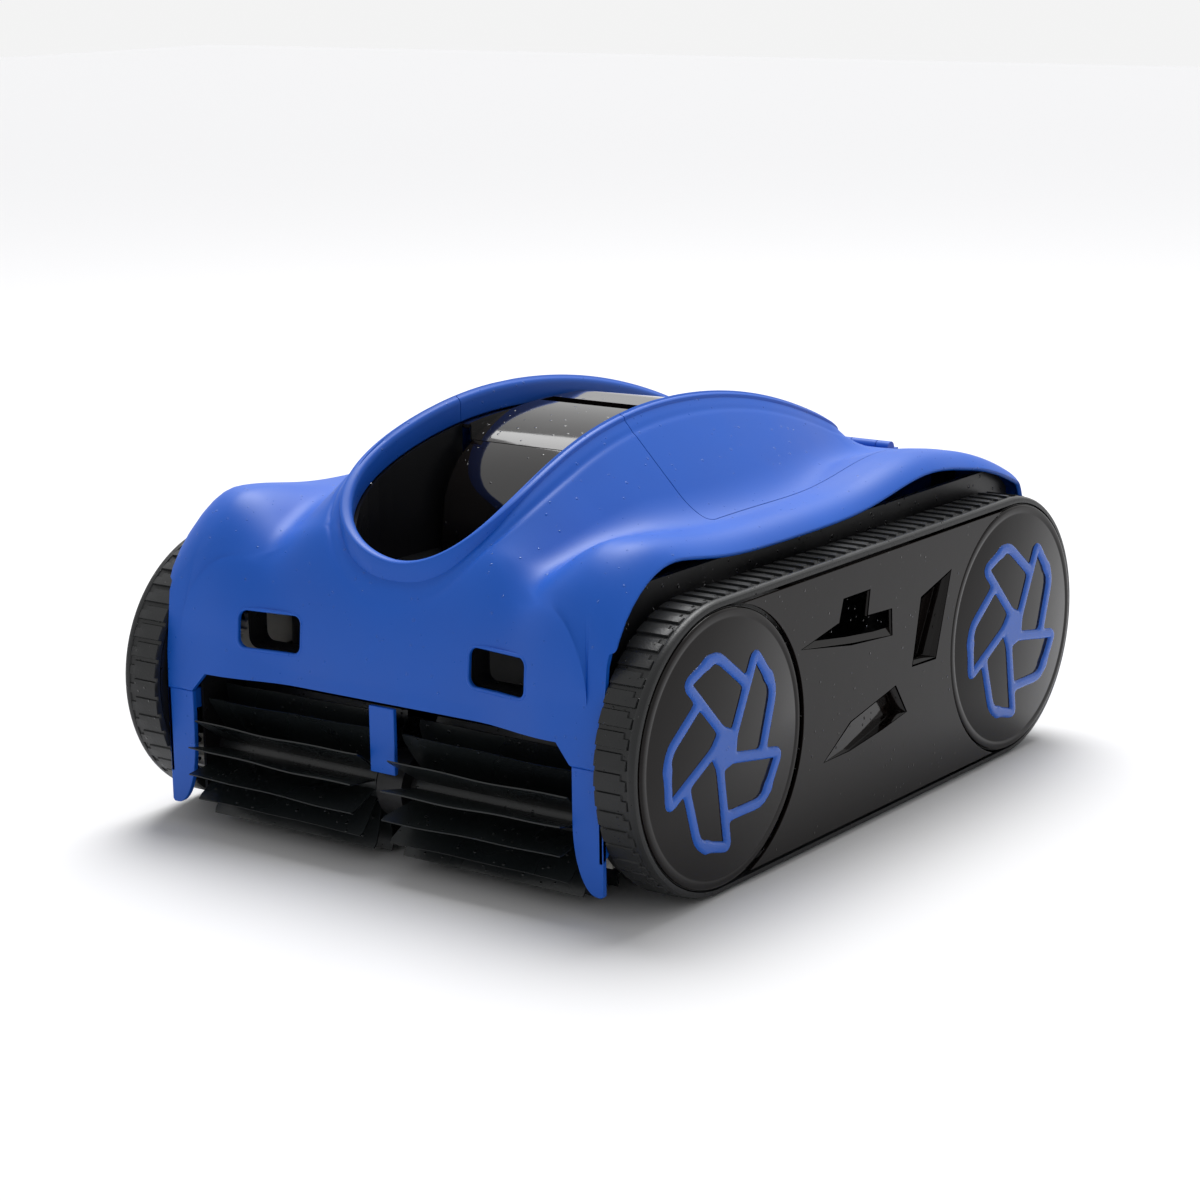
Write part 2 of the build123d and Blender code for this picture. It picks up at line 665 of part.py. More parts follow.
def brush_gear_part():
    """Gear on the right brush core; a gap faces the wheel gear's tooth."""
    half_step = 180.0 / brush_gear_teeth
    face = gear_face(brush_gear_teeth, line_angle + 180 + half_step) - Circle(brush_core_radius)
    return side_profile(Pos(brush_y, brush_z) * face, gear_inner_x, gear_outer_x)


def axle_part(y, inner_x):
    """Right wheel axle."""
    return rod_x(axle_radius, inner_x, cap_inner_x - 4, y, wheel_z)


def bush_parts():
    """Two flanged bushes in the right track frame."""
    part = None
    for y in (-wheel_y, wheel_y):
        bush = rod_x(axle_radius + bush_wall, frame_inner_x, belt_inner_x - 1, y, wheel_z)
        bush = bush + rod_x(axle_radius + bush_wall + 3, frame_outer_x, frame_outer_x + 2, y, wheel_z)
        bush = bush - rod_x(axle_radius + running, 150, 180, y, wheel_z)
        part = bush if part is None else part + bush
    return part


# ---------------------------------------------------------------- brushes
def brush_core_part():
    """Right brush core: a tube that turns on the fixed rod."""
    tube = rod_x(brush_core_radius, brush_inner_end, gear_outer_x, brush_y, brush_z)
    return tube - rod_x(brush_rod_radius + running, 0, 200, brush_y, brush_z)


def brush_fin_parts():
    """Thin radial fins on a sleeve around the right brush core, longer at the tip than at the root."""
    root, tip, t = brush_core_radius, brush_radius, brush_fin_thickness / 2
    x0, x1 = brush_inner_end, brush_outer_end
    fin_face = make_face(Polyline((x0 + 7, root + 0.5), (x0 + 5, root + 9), (x0, tip), (x1, tip),
                                  (x1 - 3, root + 9), (x1 - 5, root + 0.5), close=True))
    fin = extrude(Plane.XZ.offset(-t) * fin_face, 2 * t)
    part = rod_x(root + 1.5, x0 + 5, x1 - 3, 0, 0) - rod_x(root, 0, 200, 0, 0)
    for k in range(brush_fin_count):
        part = part + Rot(360.0 * k / brush_fin_count, 0, 0) * fin
    return Pos(0, brush_y, brush_z) * part


# ---------------------------------------------------------------- hand recess and dome
def recess_liner_part():
    """Black tub of the hand recess, under the hoop and forward of the lid."""
    wall = hoop_ring(liner_inset, liner_inset + liner_wall, -hoop_band - 2 * fit, None)
    floor = extrude(Plane.XY.offset(recess_floor - liner_wall) * hoop_face(liner_inset + 1), liner_wall)
    return (wall + floor) & block(-100, 100, -300, lid_front - seam_gap / 2, 0, 400)


def dome_curve(depth, y0, y1):
    """Points of the dome's front curve, depth below its skin."""
    rise, reach = dome_top_z - dome_base_z - depth, -dome_front - depth
    ys = y0 + (y1 - y0) * np.sin(np.linspace(0, np.pi / 2, 13))
    zs = dome_base_z + rise * np.clip(1 - np.clip(-ys / reach, 0, 1) ** 2.4, 0, 1) ** (1 / 2.4)
    return [(float(y), float(z)) for y, z in zip(ys, zs)]


slot_front, slot_back, slot_floor = -17.0, -3.0, 236.0
dome_drop = 8.0
dome_tail_y = hoop_tail_y - hoop_land - 1.5


def dome_lower_part():
    """Lower front of the dome, from the recess floor up to the lid's seam."""
    seam = lid_front - seam_gap / 2
    outer = dome_curve(0.0, dome_front, seam)
    inner = dome_curve(dome_wall, dome_front + dome_wall, seam)
    edge = Polyline((dome_front, recess_floor), outer[0]) + Spline(*outer)
    edge = edge + Line(outer[-1], inner[-1]) + Spline(*inner[::-1])
    edge = edge + Polyline(inner[0], (dome_front + dome_wall, recess_floor), (dome_front, recess_floor))
    wall = side_profile(make_face(edge), -dome_half_width, dome_half_width)
    fill_face = make_face(Polyline((dome_front + 1, recess_floor), outer[4], (seam, outer[-1][1] - 1),
                                   (seam, recess_floor), close=True))
    cheek = side_profile(fill_face, dome_half_width - dome_wall, dome_half_width)
    hull = side_profile(make_face(Polyline((dome_front, recess_floor), outer[0]) + Spline(*outer)
                                  + Polyline(outer[-1], (seam, recess_floor), (dome_front, recess_floor))),
                        dome_half_width - dome_wall, dome_half_width)
    return wall + hull + left_of(hull)


def dome_upper_part():
    """Dome on the lid: front curve, finger slot under a lip, rear slope and side troughs."""
    seam = lid_front + seam_gap / 2
    front = dome_curve(0.0, seam, slot_front)
    under = [(y, z - dome_wall - 1.2 * (1 - i / 12)) for i, (y, z) in enumerate(front)]
    under = [p for p in under if p[0] < slot_front - dome_wall - 1]
    rear_y = np.linspace(slot_back - 3, dome_tail_y, 12)
    rear = [(float(y), float(hoop_height(y)) - dome_drop) for y in rear_y]
    low = [(float(y), float(hoop_height(y)) - dome_drop - dome_wall) for y in rear_y]
    floor = slot_floor
    edge = Spline(*front) + Polyline(front[-1], (slot_front, floor), (slot_back, floor),
                                     (slot_back, low[0][1]), (rear[0][0], low[0][1]), rear[0])
    edge = edge + Spline(*rear) + Line(rear[-1], low[-1]) + Spline(*low[:0:-1])
    edge = edge + Polyline(low[1], (slot_back + dome_wall, low[1][1]),
                           (slot_back + dome_wall, floor - dome_wall),
                           (slot_front - dome_wall, floor - dome_wall),
                           (slot_front - dome_wall, under[-1][1] + 0.3), under[-1])
    edge = edge + Spline(*under[::-1]) + Line(under[0], front[0])
    skin = side_profile(make_face(edge), -dome_half_width, dome_half_width)
    skin = skin & extrude(hoop_face(hoop_land + 2 * fit), 400)
    trough = side_profile(hoop_profile(-hoop_band - fit, -hoop_band - fit - liner_wall), -100, 100)
    trough = trough & block(-100, 100, seam, hoop_tail_y, 0, 400)
    reach = extrude(hoop_face(hoop_land + 2 * fit), 400)
    trough = (trough & reach) - block(-dome_half_width + dome_wall, dome_half_width - dome_wall,
                                      -200, hoop_tail_y, 0, 400)
    cheek_top = side_profile(hoop_profile(-dome_drop - 1, -hoop_band - 1), 0, 100)
    cheek = cheek_top & block(dome_half_width - dome_wall, dome_half_width, slot_back, dome_tail_y, 0, 400)
    cheek = cheek & extrude(hoop_face(hoop_land + 2 * fit), 400)
    front_cheek_face = make_face(Spline(*front) + Polyline(
        front[-1], (slot_back + dome_wall, front[-1][1]),
        (slot_back + dome_wall, float(hoop_height(slot_back)) - hoop_band - 1)) + Polyline(
        (slot_back + dome_wall, float(hoop_height(slot_back)) - hoop_band - 1),
        (seam, front[0][1] - 1 if front[0][1] < hoop_height(seam) - hoop_band else
         float(hoop_height(seam)) - hoop_band - 1), front[0]))
    front_cheek = side_profile(front_cheek_face, dome_half_width - dome_wall, dome_half_width)
    return skin + trough + cheek + left_of(cheek) + front_cheek + left_of(front_cheek)


# ---------------------------------------------------------------- working parts in the tray
def boxed(x0, x1, y0, y1, z0, z1, wall):
    """Open-topped box with walls of one thickness."""
    return block(x0, x1, y0, y1, z0, z1) - block(x0 + wall, x1 - wall, y0 + wall, y1 - wall, z0 + wall,
                                                 z1 + wall)


def window_pattern(part, half, y0, y1, z0, z1):
    """Cut two rows of windows through all four walls of the basket."""
    for z in (z0 + 32, z0 + 82):
        count = 5
        for i in range(count):
            x = -half + 2 * half * (i + 0.5) / count
            part = part - block(x - 15, x + 15, y0 - 5, y1 + 5, z, z + 36)
            y = y0 + (y1 - y0) * (i + 0.5) / count
            part = part - block(-half - 5, half + 5, y - 18, y + 18, z, z + 36)
    return part


def filter_basket_part():
    """Lift-out basket with windowed walls, a floor hole over the inlet and a bow handle."""
    part = boxed(-basket_half, basket_half, basket_y0, basket_y1, basket_floor, basket_top, 2.5)
    part = window_pattern(part, basket_half, basket_y0, basket_y1, basket_floor, basket_top)
    part = part - block(-inlet_half - 8, inlet_half + 8, inlet_y0 - 6, inlet_y1 + 8, 0, 60)
    rim = block(-basket_half - 4, basket_half + 4, basket_y0 - 4, basket_y1 + 4, basket_top - 3, basket_top)
    rim = rim - block(-basket_half + 2.5, basket_half - 2.5, basket_y0 + 2.5, basket_y1 - 2.5, 0, 200)
    middle = (basket_y0 + basket_y1) / 2
    handle = block(-basket_half + 1, basket_half - 1, middle - 7, middle + 7, basket_top - 4, basket_top)
    feet = None
    for x in (-90, 90):
        foot = block(x - 6, x + 6, basket_y0 + 4, basket_y1 - 4, tray_bottom + tray_wall + fit,
                     basket_floor + 1)
        feet = foot if feet is None else feet + foot
    return part + rim + handle + feet


def filter_mesh_part():
    """Fine screen just inside the basket's walls."""
    gap = 2.5 + 0.1
    outer = block(-basket_half + gap, basket_half - gap, basket_y0 + gap, basket_y1 - gap,
                  basket_floor + 2.7, basket_top - 6)
    inner = block(-basket_half + gap + 0.8, basket_half - gap - 0.8, basket_y0 + gap + 0.8,
                  basket_y1 - gap - 0.8, 0, 200)
    return outer - inner


def inlet_flap_part():
    """One-way flap lying over the suction inlet, with its hinge barrel at the rear."""
    z = tray_bottom + tray_wall + fit
    flap = block(-inlet_half - 3, inlet_half + 3, inlet_y0 - 3, inlet_y1 + 1, z, z + 2)
    barrel = rod_x(2.0, -inlet_half - 3, inlet_half + 3, inlet_y1 + 3, z + 2.2)
    neck = block(-inlet_half - 3, inlet_half + 3, inlet_y1, inlet_y1 + 3, z + 0.6, z + 2)
    return flap + barrel + neck - rod_x(0.8 + running, -100, 100, inlet_y1 + 3, z + 2.2)


def flap_pin_part():
    """Pin of the inlet flap with its two ears on the tray floor."""
    z = tray_bottom + tray_wall + fit + 2.2
    pin = rod_x(0.8, -inlet_half - 6, inlet_half + 6, inlet_y1 + 3, z)
    ears = None
    for x in (-inlet_half - 5.5, inlet_half + 5.5):
        ear = block(x - 2, x + 2, inlet_y1 + 0.5, inlet_y1 + 5.5, tray_bottom + tray_wall, z + 2)
        ears = ear if ears is None else ears + ear
    return pin + ears


def pump_motor_part():
    """Sealed pump motor on a saddle, with a bore for the impeller's shaft."""
    z0 = tray_bottom + tray_wall
    body = rod_y(18.0, 191, 222, 0, outlet_z) + rod_y(8.0, 222, 224, 0, outlet_z)
    saddle = block(-14, 14, 193, 220, z0, outlet_z - 10)
    return body + saddle - rod_y(2.5 + running, 210, 230, 0, outlet_z)


def impeller_part():
    """Five twisted blades on a hub and shaft, inside the outlet ring."""
    hub = rod_y(8.0, 225, 235, 0, outlet_z) + rod_y(2.5, 212, 226, 0, outlet_z)
    blades = None
    for k in range(5):
        lower = Plane(origin=(0, 230, outlet_z), z_dir=(0, 0, 1)).offset(7)
        upper = lower.offset(18)
        root = lower * Rot(0, 0, 35) * Rectangle(2.0, 11.0)
        tip = upper * Rot(0, 0, 58) * Rectangle(1.4, 14.0)
        blade = loft([root, tip])
        turned = Pos(0, 0, outlet_z) * Rot(0, 72.0 * k, 0) * Pos(0, 0, -outlet_z) * blade
        blades = turned if blades is None else blades + turned
    room = rod_y(outlet_radius - 2, 222.5, 238, 0, outlet_z)
    return hub + (blades & room)


def outlet_grille_part():
    """Round jet outlet: a duct from the tray's rear wall to the rear face, with a barred front."""
    duct = rod_y(outlet_radius - fit, tray_rear - tray_wall, 248, 0, outlet_z)
    duct = duct - rod_y(outlet_radius - 2 - fit, 200, 260, 0, outlet_z)
    bars = None
    for x in (-20, -10, 0, 10, 20):
        half = math.sqrt((outlet_radius - 1) ** 2 - x**2)
        bar = block(x - 1, x + 1, 241, 244, outlet_z - half, outlet_z + half)
        bars = bar if bars is None else bars + bar
    cross = block(-outlet_radius + 1, outlet_radius - 1, 241, 244, outlet_z - 1, outlet_z + 1)
    return duct + bars + cross


def drive_motor_part():
    """Right drive motor and gearbox, with a bore for the rear axle."""
    z0 = tray_bottom + tray_wall
    body = rod_x(motor_radius, 109, tray_half_width - tray_wall - fit, wheel_y, wheel_z)
    saddle = block(112, 138, wheel_y - 12, wheel_y + 12, z0, wheel_z - 8)
    return body + saddle - rod_x(axle_radius + running, 122, 150, wheel_y, wheel_z)


def battery_part():
    """Sealed battery pack in the front of the tray."""
    z0 = tray_bottom + tray_wall
    pack = block(-100, 100, battery_y0, battery_y1, z0, z0 + 90)
    return fillet(pack.edges().filter_by(Axis.Z), 8.0)


def control_box_part():
    """Sealed control box beside the pump motor."""
    z0 = tray_bottom + tray_wall
    box = block(28, 84, 192, 230, z0, z0 + 110)
    return fillet(box.edges().filter_by(Axis.Z), 4.0)


# ---------------------------------------------------------------- rear controls
def button_base_part():
    """Switch housing behind the power button, with the lens's light pipe."""
    base = rod_y(7.0, tray_rear, 241.0, button_x, button_z)
    return base + rod_y(2.0, tray_rear, 242.0, button_x, lens_z)


def power_button_part():
    """Power button that slides in the rear face."""
    cap = rod_y(button_radius, 243.2, 248.2, button_x, button_z)
    return fillet(cap.edges().filter_by(GeomType.CIRCLE).sort_by(Axis.Y)[-1], 0.8)


def status_lens_part():
    """Small lens over the light pipe."""
    return rod_y(lens_radius - 0.05, 242.2, 245.4, button_x, lens_z)


def charge_port_part():
    """Charging socket behind the cover."""
    body = rod_y(11.0, tray_rear, 242.0, port_x, port_z)
    return body - rod_y(6.0, 238.0, 250.0, port_x, port_z) + rod_y(1.2, 237.5, 241.5, port_x, port_z)


port_hinge_y = 248.6
port_hinge_z = port_z + port_radius + 1.5


def port_cover_part():
    """Rubber cover of the charging port, with its hinge barrel above."""
    plug = rod_y(port_radius, 244.5, 247.2, port_x, port_z)
    ear = block(port_x - 5, port_x + 5, 246.8, 248.8, port_z + 8, port_hinge_z)
    barrel = rod_x(1.6, port_x - 5, port_x + 5, port_hinge_y, port_hinge_z)
    return plug + ear + barrel - rod_x(0.7 + running, port_x - 20, port_x + 20, port_hinge_y, port_hinge_z)


def port_pin_part():
    """Hinge pin of the port cover with its two ears."""
    pin = rod_x(0.7, port_x - 9, port_x + 9, port_hinge_y, port_hinge_z)
    ears = None
    for x in (port_x - 7.5, port_x + 7.5):
        ear = block(x - 1.8, x + 1.8, 245.3, port_hinge_y + 1.4, port_hinge_z - 1.2, port_hinge_z + 1.4)
        ears = ear if ears is None else ears + ear
    return pin + ears


# ---------------------------------------------------------------- write every node
def save_pair(part, node):
    """Write a right-hand part and its mirror image."""
    save(part, node + "_right")
    save(left_of(part), node + "_left")


os.makedirs("parts", exist_ok=True)
save(top_shell, "top_shell")
save(lid, "lid")
save(hinge_pins, "lid_hinge_pins")
save(base_tray_part(), "base_tray")
save(shell_screw_parts(), "shell_screws")
save(front_frame_part(), "front_frame")
save(rear_frame_part(), "rear_frame")
save(recess_liner_part(), "recess_liner")
save(dome_lower_part(), "dome_lower")
save(dome_upper_part(), "dome_upper")
save_pair(track_frame_part(), "track_frame")
save_pair(side_plate_part(), "side_plate")
screws = plate_screw_parts()
save(screws + left_of(screws), "plate_screws")
bushes = bush_parts()
save(bushes + left_of(bushes), "axle_bushes")
save_pair(belt_part(), "track_belt")
for end, y, inner_x in (("front", -wheel_y, cheek_inner_x), ("rear", wheel_y, 124.0)):
    save_pair(wheel_part(y), end + "_wheel")
    save_pair(cap_part(y), end + "_hub_cap")
    save_pair(pinwheel_part(y), end + "_pinwheel")
    save_pair(axle_part(y, inner_x), end + "_axle")
save_pair(wheel_gear_part(), "wheel_gear")
save_pair(brush_gear_part(), "brush_gear")
save_pair(brush_core_part(), "brush_core")
save_pair(brush_fin_parts(), "brush_fins")
save(rod_x(brush_rod_radius, -frame_outer_x, frame_outer_x, brush_y, brush_z), "brush_rod")
save(battery_part(), "battery_pack")
save(control_box_part(), "control_box")
save_pair(drive_motor_part(), "drive_motor")
save(pump_motor_part(), "pump_motor")
save(impeller_part(), "impeller")
save(outlet_grille_part(), "outlet_grille")
save(filter_basket_part(), "filter_basket")
save(filter_mesh_part(), "filter_mesh")
save(inlet_flap_part(), "inlet_flap")
save(flap_pin_part(), "flap_pin")
save(button_base_part(), "button_base")
save(power_button_part(), "power_button")
save(status_lens_part(), "status_lens")
save(charge_port_part(), "charge_port")
save(port_cover_part(), "port_cover")
save(port_pin_part(), "port_pin")
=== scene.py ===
"""Cordless tracked pool cleaner: blue moulded covers over a black chassis with two tracks and two brushes."""
import json
import math

import bmesh
import bpy
import numpy as np
from mathutils import Matrix, Vector


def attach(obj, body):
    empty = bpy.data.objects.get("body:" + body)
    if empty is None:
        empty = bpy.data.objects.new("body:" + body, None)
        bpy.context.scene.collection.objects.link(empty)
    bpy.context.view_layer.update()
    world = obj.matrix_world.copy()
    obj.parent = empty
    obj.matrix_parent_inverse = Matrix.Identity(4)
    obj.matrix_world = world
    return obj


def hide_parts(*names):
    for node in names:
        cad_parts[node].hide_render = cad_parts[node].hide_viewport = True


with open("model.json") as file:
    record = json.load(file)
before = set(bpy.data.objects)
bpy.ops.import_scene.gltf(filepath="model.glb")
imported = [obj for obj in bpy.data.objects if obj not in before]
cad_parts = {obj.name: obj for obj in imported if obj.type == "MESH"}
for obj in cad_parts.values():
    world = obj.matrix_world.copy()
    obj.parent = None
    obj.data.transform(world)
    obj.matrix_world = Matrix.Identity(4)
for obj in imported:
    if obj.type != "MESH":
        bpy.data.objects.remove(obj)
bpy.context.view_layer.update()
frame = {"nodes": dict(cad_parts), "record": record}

# ---------------------------------------------------------------- camera, light and floor
# A plain pale floor under a soft studio sky: a broad sun from behind the machine's left, one large
# softbox for the highlights, and an even pale world.
azimuth, elevation, roll = math.radians(36.32), math.radians(13.41), math.radians(-0.73)
back = Vector((math.sin(azimuth) * math.cos(elevation), -math.cos(azimuth) * math.cos(elevation),
               math.sin(elevation)))
level = Vector((math.cos(azimuth), math.sin(azimuth), 0.0))
rise = back.cross(level)
right = math.cos(roll) * level + math.sin(roll) * rise
upward = -math.sin(roll) * level + math.cos(roll) * rise
camera_place, camera_lens = (1.0890, -1.5030, 0.5588), 86.87


def add(name, data):
    """New object in the scene."""
    made = bpy.data.objects.new(name, data)
    bpy.context.scene.collection.objects.link(made)
    return made


camera = add("camera", bpy.data.cameras.new("camera"))
camera.data.lens = camera_lens
camera.data.sensor_width = 36.0
camera.data.clip_end = 50.0
camera.matrix_world = Matrix.Translation(camera_place) @ Matrix((right, upward, back)).transposed().to_4x4()
bpy.context.scene.camera = camera
bpy.context.scene.view_settings.view_transform = "Standard"


def softbox(name, place, target, size, strength):
    """Square area lamp at a place, turned to a target."""
    lamp = add(name, bpy.data.lights.new(name, "AREA"))
    lamp.data.size = size
    lamp.data.energy = strength
    lamp.location = place
    lamp.rotation_mode = "QUATERNION"
    lamp.rotation_quaternion = (Vector(target) - Vector(place)).to_track_quat("-Z", "Y")


softbox("overhead", (-0.7, 0.9, 2.3), (0.0, 0.0, 0.1), 1.6, 26.0)

sun = add("sun", bpy.data.lights.new("sun", "SUN"))
sun.data.energy = 2.3
sun.data.angle = math.radians(40.0)
sun.rotation_euler = (math.radians(-24.0), math.radians(-14.0), 0.0)


def put(tree, kind, settings=None, **values):
    """New node with settings on itself and values on its input sockets; an output socket is linked."""
    node = tree.nodes.new(kind)
    for key, value in (settings or {}).items():
        setattr(node, key, value)
    for key, value in values.items():
        socket = node.inputs[int(key[1:])] if key[0] == "_" else node.inputs[key.replace("_", " ")]
        if isinstance(value, bpy.types.NodeSocket):
            tree.links.new(value, socket)
        else:
            socket.default_value = value
    return node


def maths(tree, operation, *values, clamp=False):
    """Result of a maths node on numbers and sockets."""
    node = put(tree, "ShaderNodeMath", {"operation": operation, "use_clamp": clamp},
               **{f"_{place}": value for place, value in enumerate(values)})
    return node.outputs[0]



# The world is brighter to the camera, in reflections and through clear parts than as light.
world = bpy.data.worlds.new("studio")
bpy.context.scene.world = world
world.use_nodes = True
world.node_tree.nodes.clear()
paths = put(world.node_tree, "ShaderNodeLightPath")
seen = paths.outputs["Is Camera Ray"]
for ray in ("Is Transmission Ray", "Is Glossy Ray"):
    seen = maths(world.node_tree, "MAXIMUM", seen, paths.outputs[ray])
strength = put(world.node_tree, "ShaderNodeMapRange", Value=seen, To_Min=0.44, To_Max=0.9)
sky = put(world.node_tree, "ShaderNodeBackground", Color=(1.0, 1.0, 1.0, 1.0), Strength=strength.outputs[0])
put(world.node_tree, "ShaderNodeOutputWorld", Surface=sky.outputs[0])


def new_material(name):
    """Node material; returns it, its tree and its Principled BSDF."""
    made = bpy.data.materials.new(name)
    made.use_nodes = True
    return made, made.node_tree, made.node_tree.nodes["Principled BSDF"]


floor_reach = 8.0
floor_mesh = bpy.data.meshes.new("floor")
floor_corners = [(x * floor_reach, y * floor_reach, 0) for x, y in ((-1, -1), (1, -1), (1, 1), (-1, 1))]
floor_mesh.from_pydata(floor_corners, [], [(0, 1, 2, 3)])
floor = add("floor", floor_mesh)
floor_paint, _, shader = new_material("floor_paint")
shader.inputs["Base Color"].default_value = (0.78, 0.78, 0.79, 1)
shader.inputs["Roughness"].default_value = 0.75
floor_mesh.materials.append(floor_paint)

# ---------------------------------------------------------------- top shell and lid
# Two blue ABS mouldings of one flowing skin, 3 mm thick: fenders over the tracks, a valley between
# them and a raised hoop to carry the machine by. The lid is the middle and rear of the same skin,
# hinged at the rear, and a 0.6 mm seam parts the two.
MM = 0.001
shell_half_width, shell_wall, shell_bottom = 172.0, 3.0, 89.0
shell_front, shell_rear = -243.0, 250.0
nose_bulge, tail_bulge, plan_corner = 10.5, 7.0, 8.0
edge_round, seam_gap = 1.5, 0.6
fender_z, fender_inner, fender_blend = 199.0, 80.0, 62.0
front_swell, front_swell_y, front_swell_width = 10.0, -195.0, 55.0
rear_swell, rear_swell_y, rear_swell_width = 13.0, 110.0, 65.0
valley_z, valley_rise, valley_start_y, valley_length = 176.0, 23.0, -225.0, 120.0
side_drop, side_reach = 10.0, 24.0
sail_slope, nose_slope, sail_blend = 1.03, 0.33, 16.0
crease_depth, crease_gap, crease_width = 1.5, 6.0, 1.6
rear_droop_y, rear_droop_radius = 165.0, 144.0
rear_fall_z, rear_slope, rear_blend, rear_corner = 100.0, 8.0, 60.0, 22.0
roll_power, roll_foot_z, roll_foot_rise = 2.2, 110.0, 15.0
roll_reach, roll_reach_fender, roll_reach_side = 26.0, 24.0, 30.0
skin_rays, skin_rows, hoop_points = 200, 96, 240
hoop_half_width, hoop_tail_half_width = 69.6, 63.6
hoop_front_centre, hoop_front_length = -152.0, 75.0
hoop_rear_centre, hoop_rear_length = 150.0, 55.0
hoop_nose_z, hoop_top_z, hoop_top_y = 185.0, 261.0, -40.0
hoop_climb_power, hoop_rear_radius, nose_power, tail_power = 0.62, 475.0, 3.0, 2.5
hoop_land, hoop_band, hoop_lift = 8.0, 16.0, 3.0
lid_front, lid_half_width, lid_corner, hinge_y = -87.0, 132.0, 5.0, 212.0


def soft_min(a, b, reach):
    """Minimum of two heights, rounded where they differ by less than reach."""
    share = np.clip(0.5 + 0.5 * (b - a) / reach, 0.0, 1.0)
    return b * (1 - share) + a * share - reach * share * (1 - share)


def ramp(t):
    """Smooth step: 3t^2 - 2t^3 between 0 and 1."""
    t = np.clip(t, 0.0, 1.0)
    return t * t * (3 - 2 * t)


def bell(t, centre, width):
    """Bell curve of height 1: exp(-((t - centre) / width)^2)."""
    return np.exp(-(((t - centre) / width) ** 2))


def hoop_height(y):
    """Crest of the hoop: a steep power curve up from the nose, then a long parabola down."""
    reach = hoop_top_y - (hoop_front_centre - hoop_front_length)
    climb = np.clip(1 - ((hoop_top_y - y) / reach) ** 2, 0, 1) ** hoop_climb_power
    fall = (y - hoop_top_y) ** 2 / (2 * hoop_rear_radius)
    return np.where(y < hoop_top_y, hoop_nose_z + (hoop_top_z - hoop_nose_z) * climb, hoop_top_z - fall)


def power_length(u, v, power):
    """Superellipse length: (u^power + v^power)^(1 / power), kept clear of nought."""
    return np.maximum((u**power + v**power) ** (1 / power), 0.02)


def pairs(u, v):
    """Two rows of numbers as an array of pairs."""
    return np.stack([u, v], axis=1)


def hoop_distance(x, y):
    """Plan distance outside the hoop and the Y of the nearest crest point; the ends are superellipses."""
    s = np.abs(x)
    taper = (hoop_half_width - hoop_tail_half_width) / (hoop_rear_centre - hoop_front_centre)
    flank = s - (hoop_half_width - taper * (y - hoop_front_centre))
    nose = np.clip(hoop_front_centre - y, 0, None)
    tail = np.clip(y - hoop_rear_centre, 0, None)
    nose_share = power_length(s / hoop_half_width, nose / hoop_front_length, nose_power)
    tail_share = power_length(s / hoop_tail_half_width, tail / hoop_rear_length, tail_power)
    nose_gap = (1 - 1 / nose_share) * np.hypot(s, nose)
    tail_gap = (1 - 1 / tail_share) * np.hypot(s, tail)
    before, after = y < hoop_front_centre, y > hoop_rear_centre
    gap = np.where(before, nose_gap, np.where(after, tail_gap, flank))
    crest_nose = hoop_front_centre - nose / nose_share
    crest_tail = hoop_rear_centre + tail / tail_share
    return gap, np.where(before, crest_nose, np.where(after, crest_tail, y))


def shell_height(x, y):
    """Outer skin: fender crests, a valley between, sails that fall from the hoop, rolled ends.

    The front end is a superellipse roll whose reach grows from the middle to the track side; below
    its foot the face is nearly upright."""
    s = np.abs(x)
    crest = (fender_z + front_swell * bell(y, front_swell_y, front_swell_width)
             + rear_swell * bell(y, rear_swell_y, rear_swell_width))
    valley = valley_z + valley_rise * ramp((y - valley_start_y) / valley_length)
    height = valley + (crest - valley) * ramp((s - fender_inner) / fender_blend)
    height = height - side_drop * np.clip((s - shell_half_width + side_reach) / side_reach, 0, 2) ** 2.5
    gap, crest_y = hoop_distance(x, y)
    nose_y = hoop_front_centre - hoop_front_length
    nose = bell(crest_y, nose_y, 25.0)
    slope = sail_slope - (sail_slope - nose_slope) * nose
    sail = hoop_height(crest_y) - hoop_lift - 8 * nose - slope * gap
    top = -soft_min(-sail, -height, sail_blend)
    crease = 0.35 + 0.65 * bell(crest_y, nose_y, 80.0)
    top = top - crease_depth * crease * bell(gap, crease_gap, crease_width)
    top = top - np.clip(y - rear_droop_y, 0, None) ** 2 / (2 * rear_droop_radius)
    corner = 5 * np.clip((s - shell_half_width + rear_corner) / rear_corner, 0, 1.4) ** 3
    top = soft_min(top, rear_fall_z + (shell_rear - corner - y) * rear_slope, rear_blend)
    fender = ramp((s - 70) / 60)
    foot_y, foot_z = shell_front + 2 - 7.5 * fender, roll_foot_z + roll_foot_rise * fender
    side = np.clip((s - 140) / (shell_half_width - 140), 0, 1)
    reach = roll_reach + roll_reach_fender * fender + roll_reach_side * side**2
    share = np.clip((foot_y + reach - y) / reach, 0, 1)
    rolled = foot_z + (top - foot_z) * (1 - share**roll_power) ** (1 / roll_power)
    return rolled - 10 * np.clip(foot_y - y, 0, None)


def run_length(line):
    """Distance along a line at each of its points."""
    return np.concatenate([[0], np.cumsum(np.linalg.norm(np.diff(line, axis=0), axis=1))])


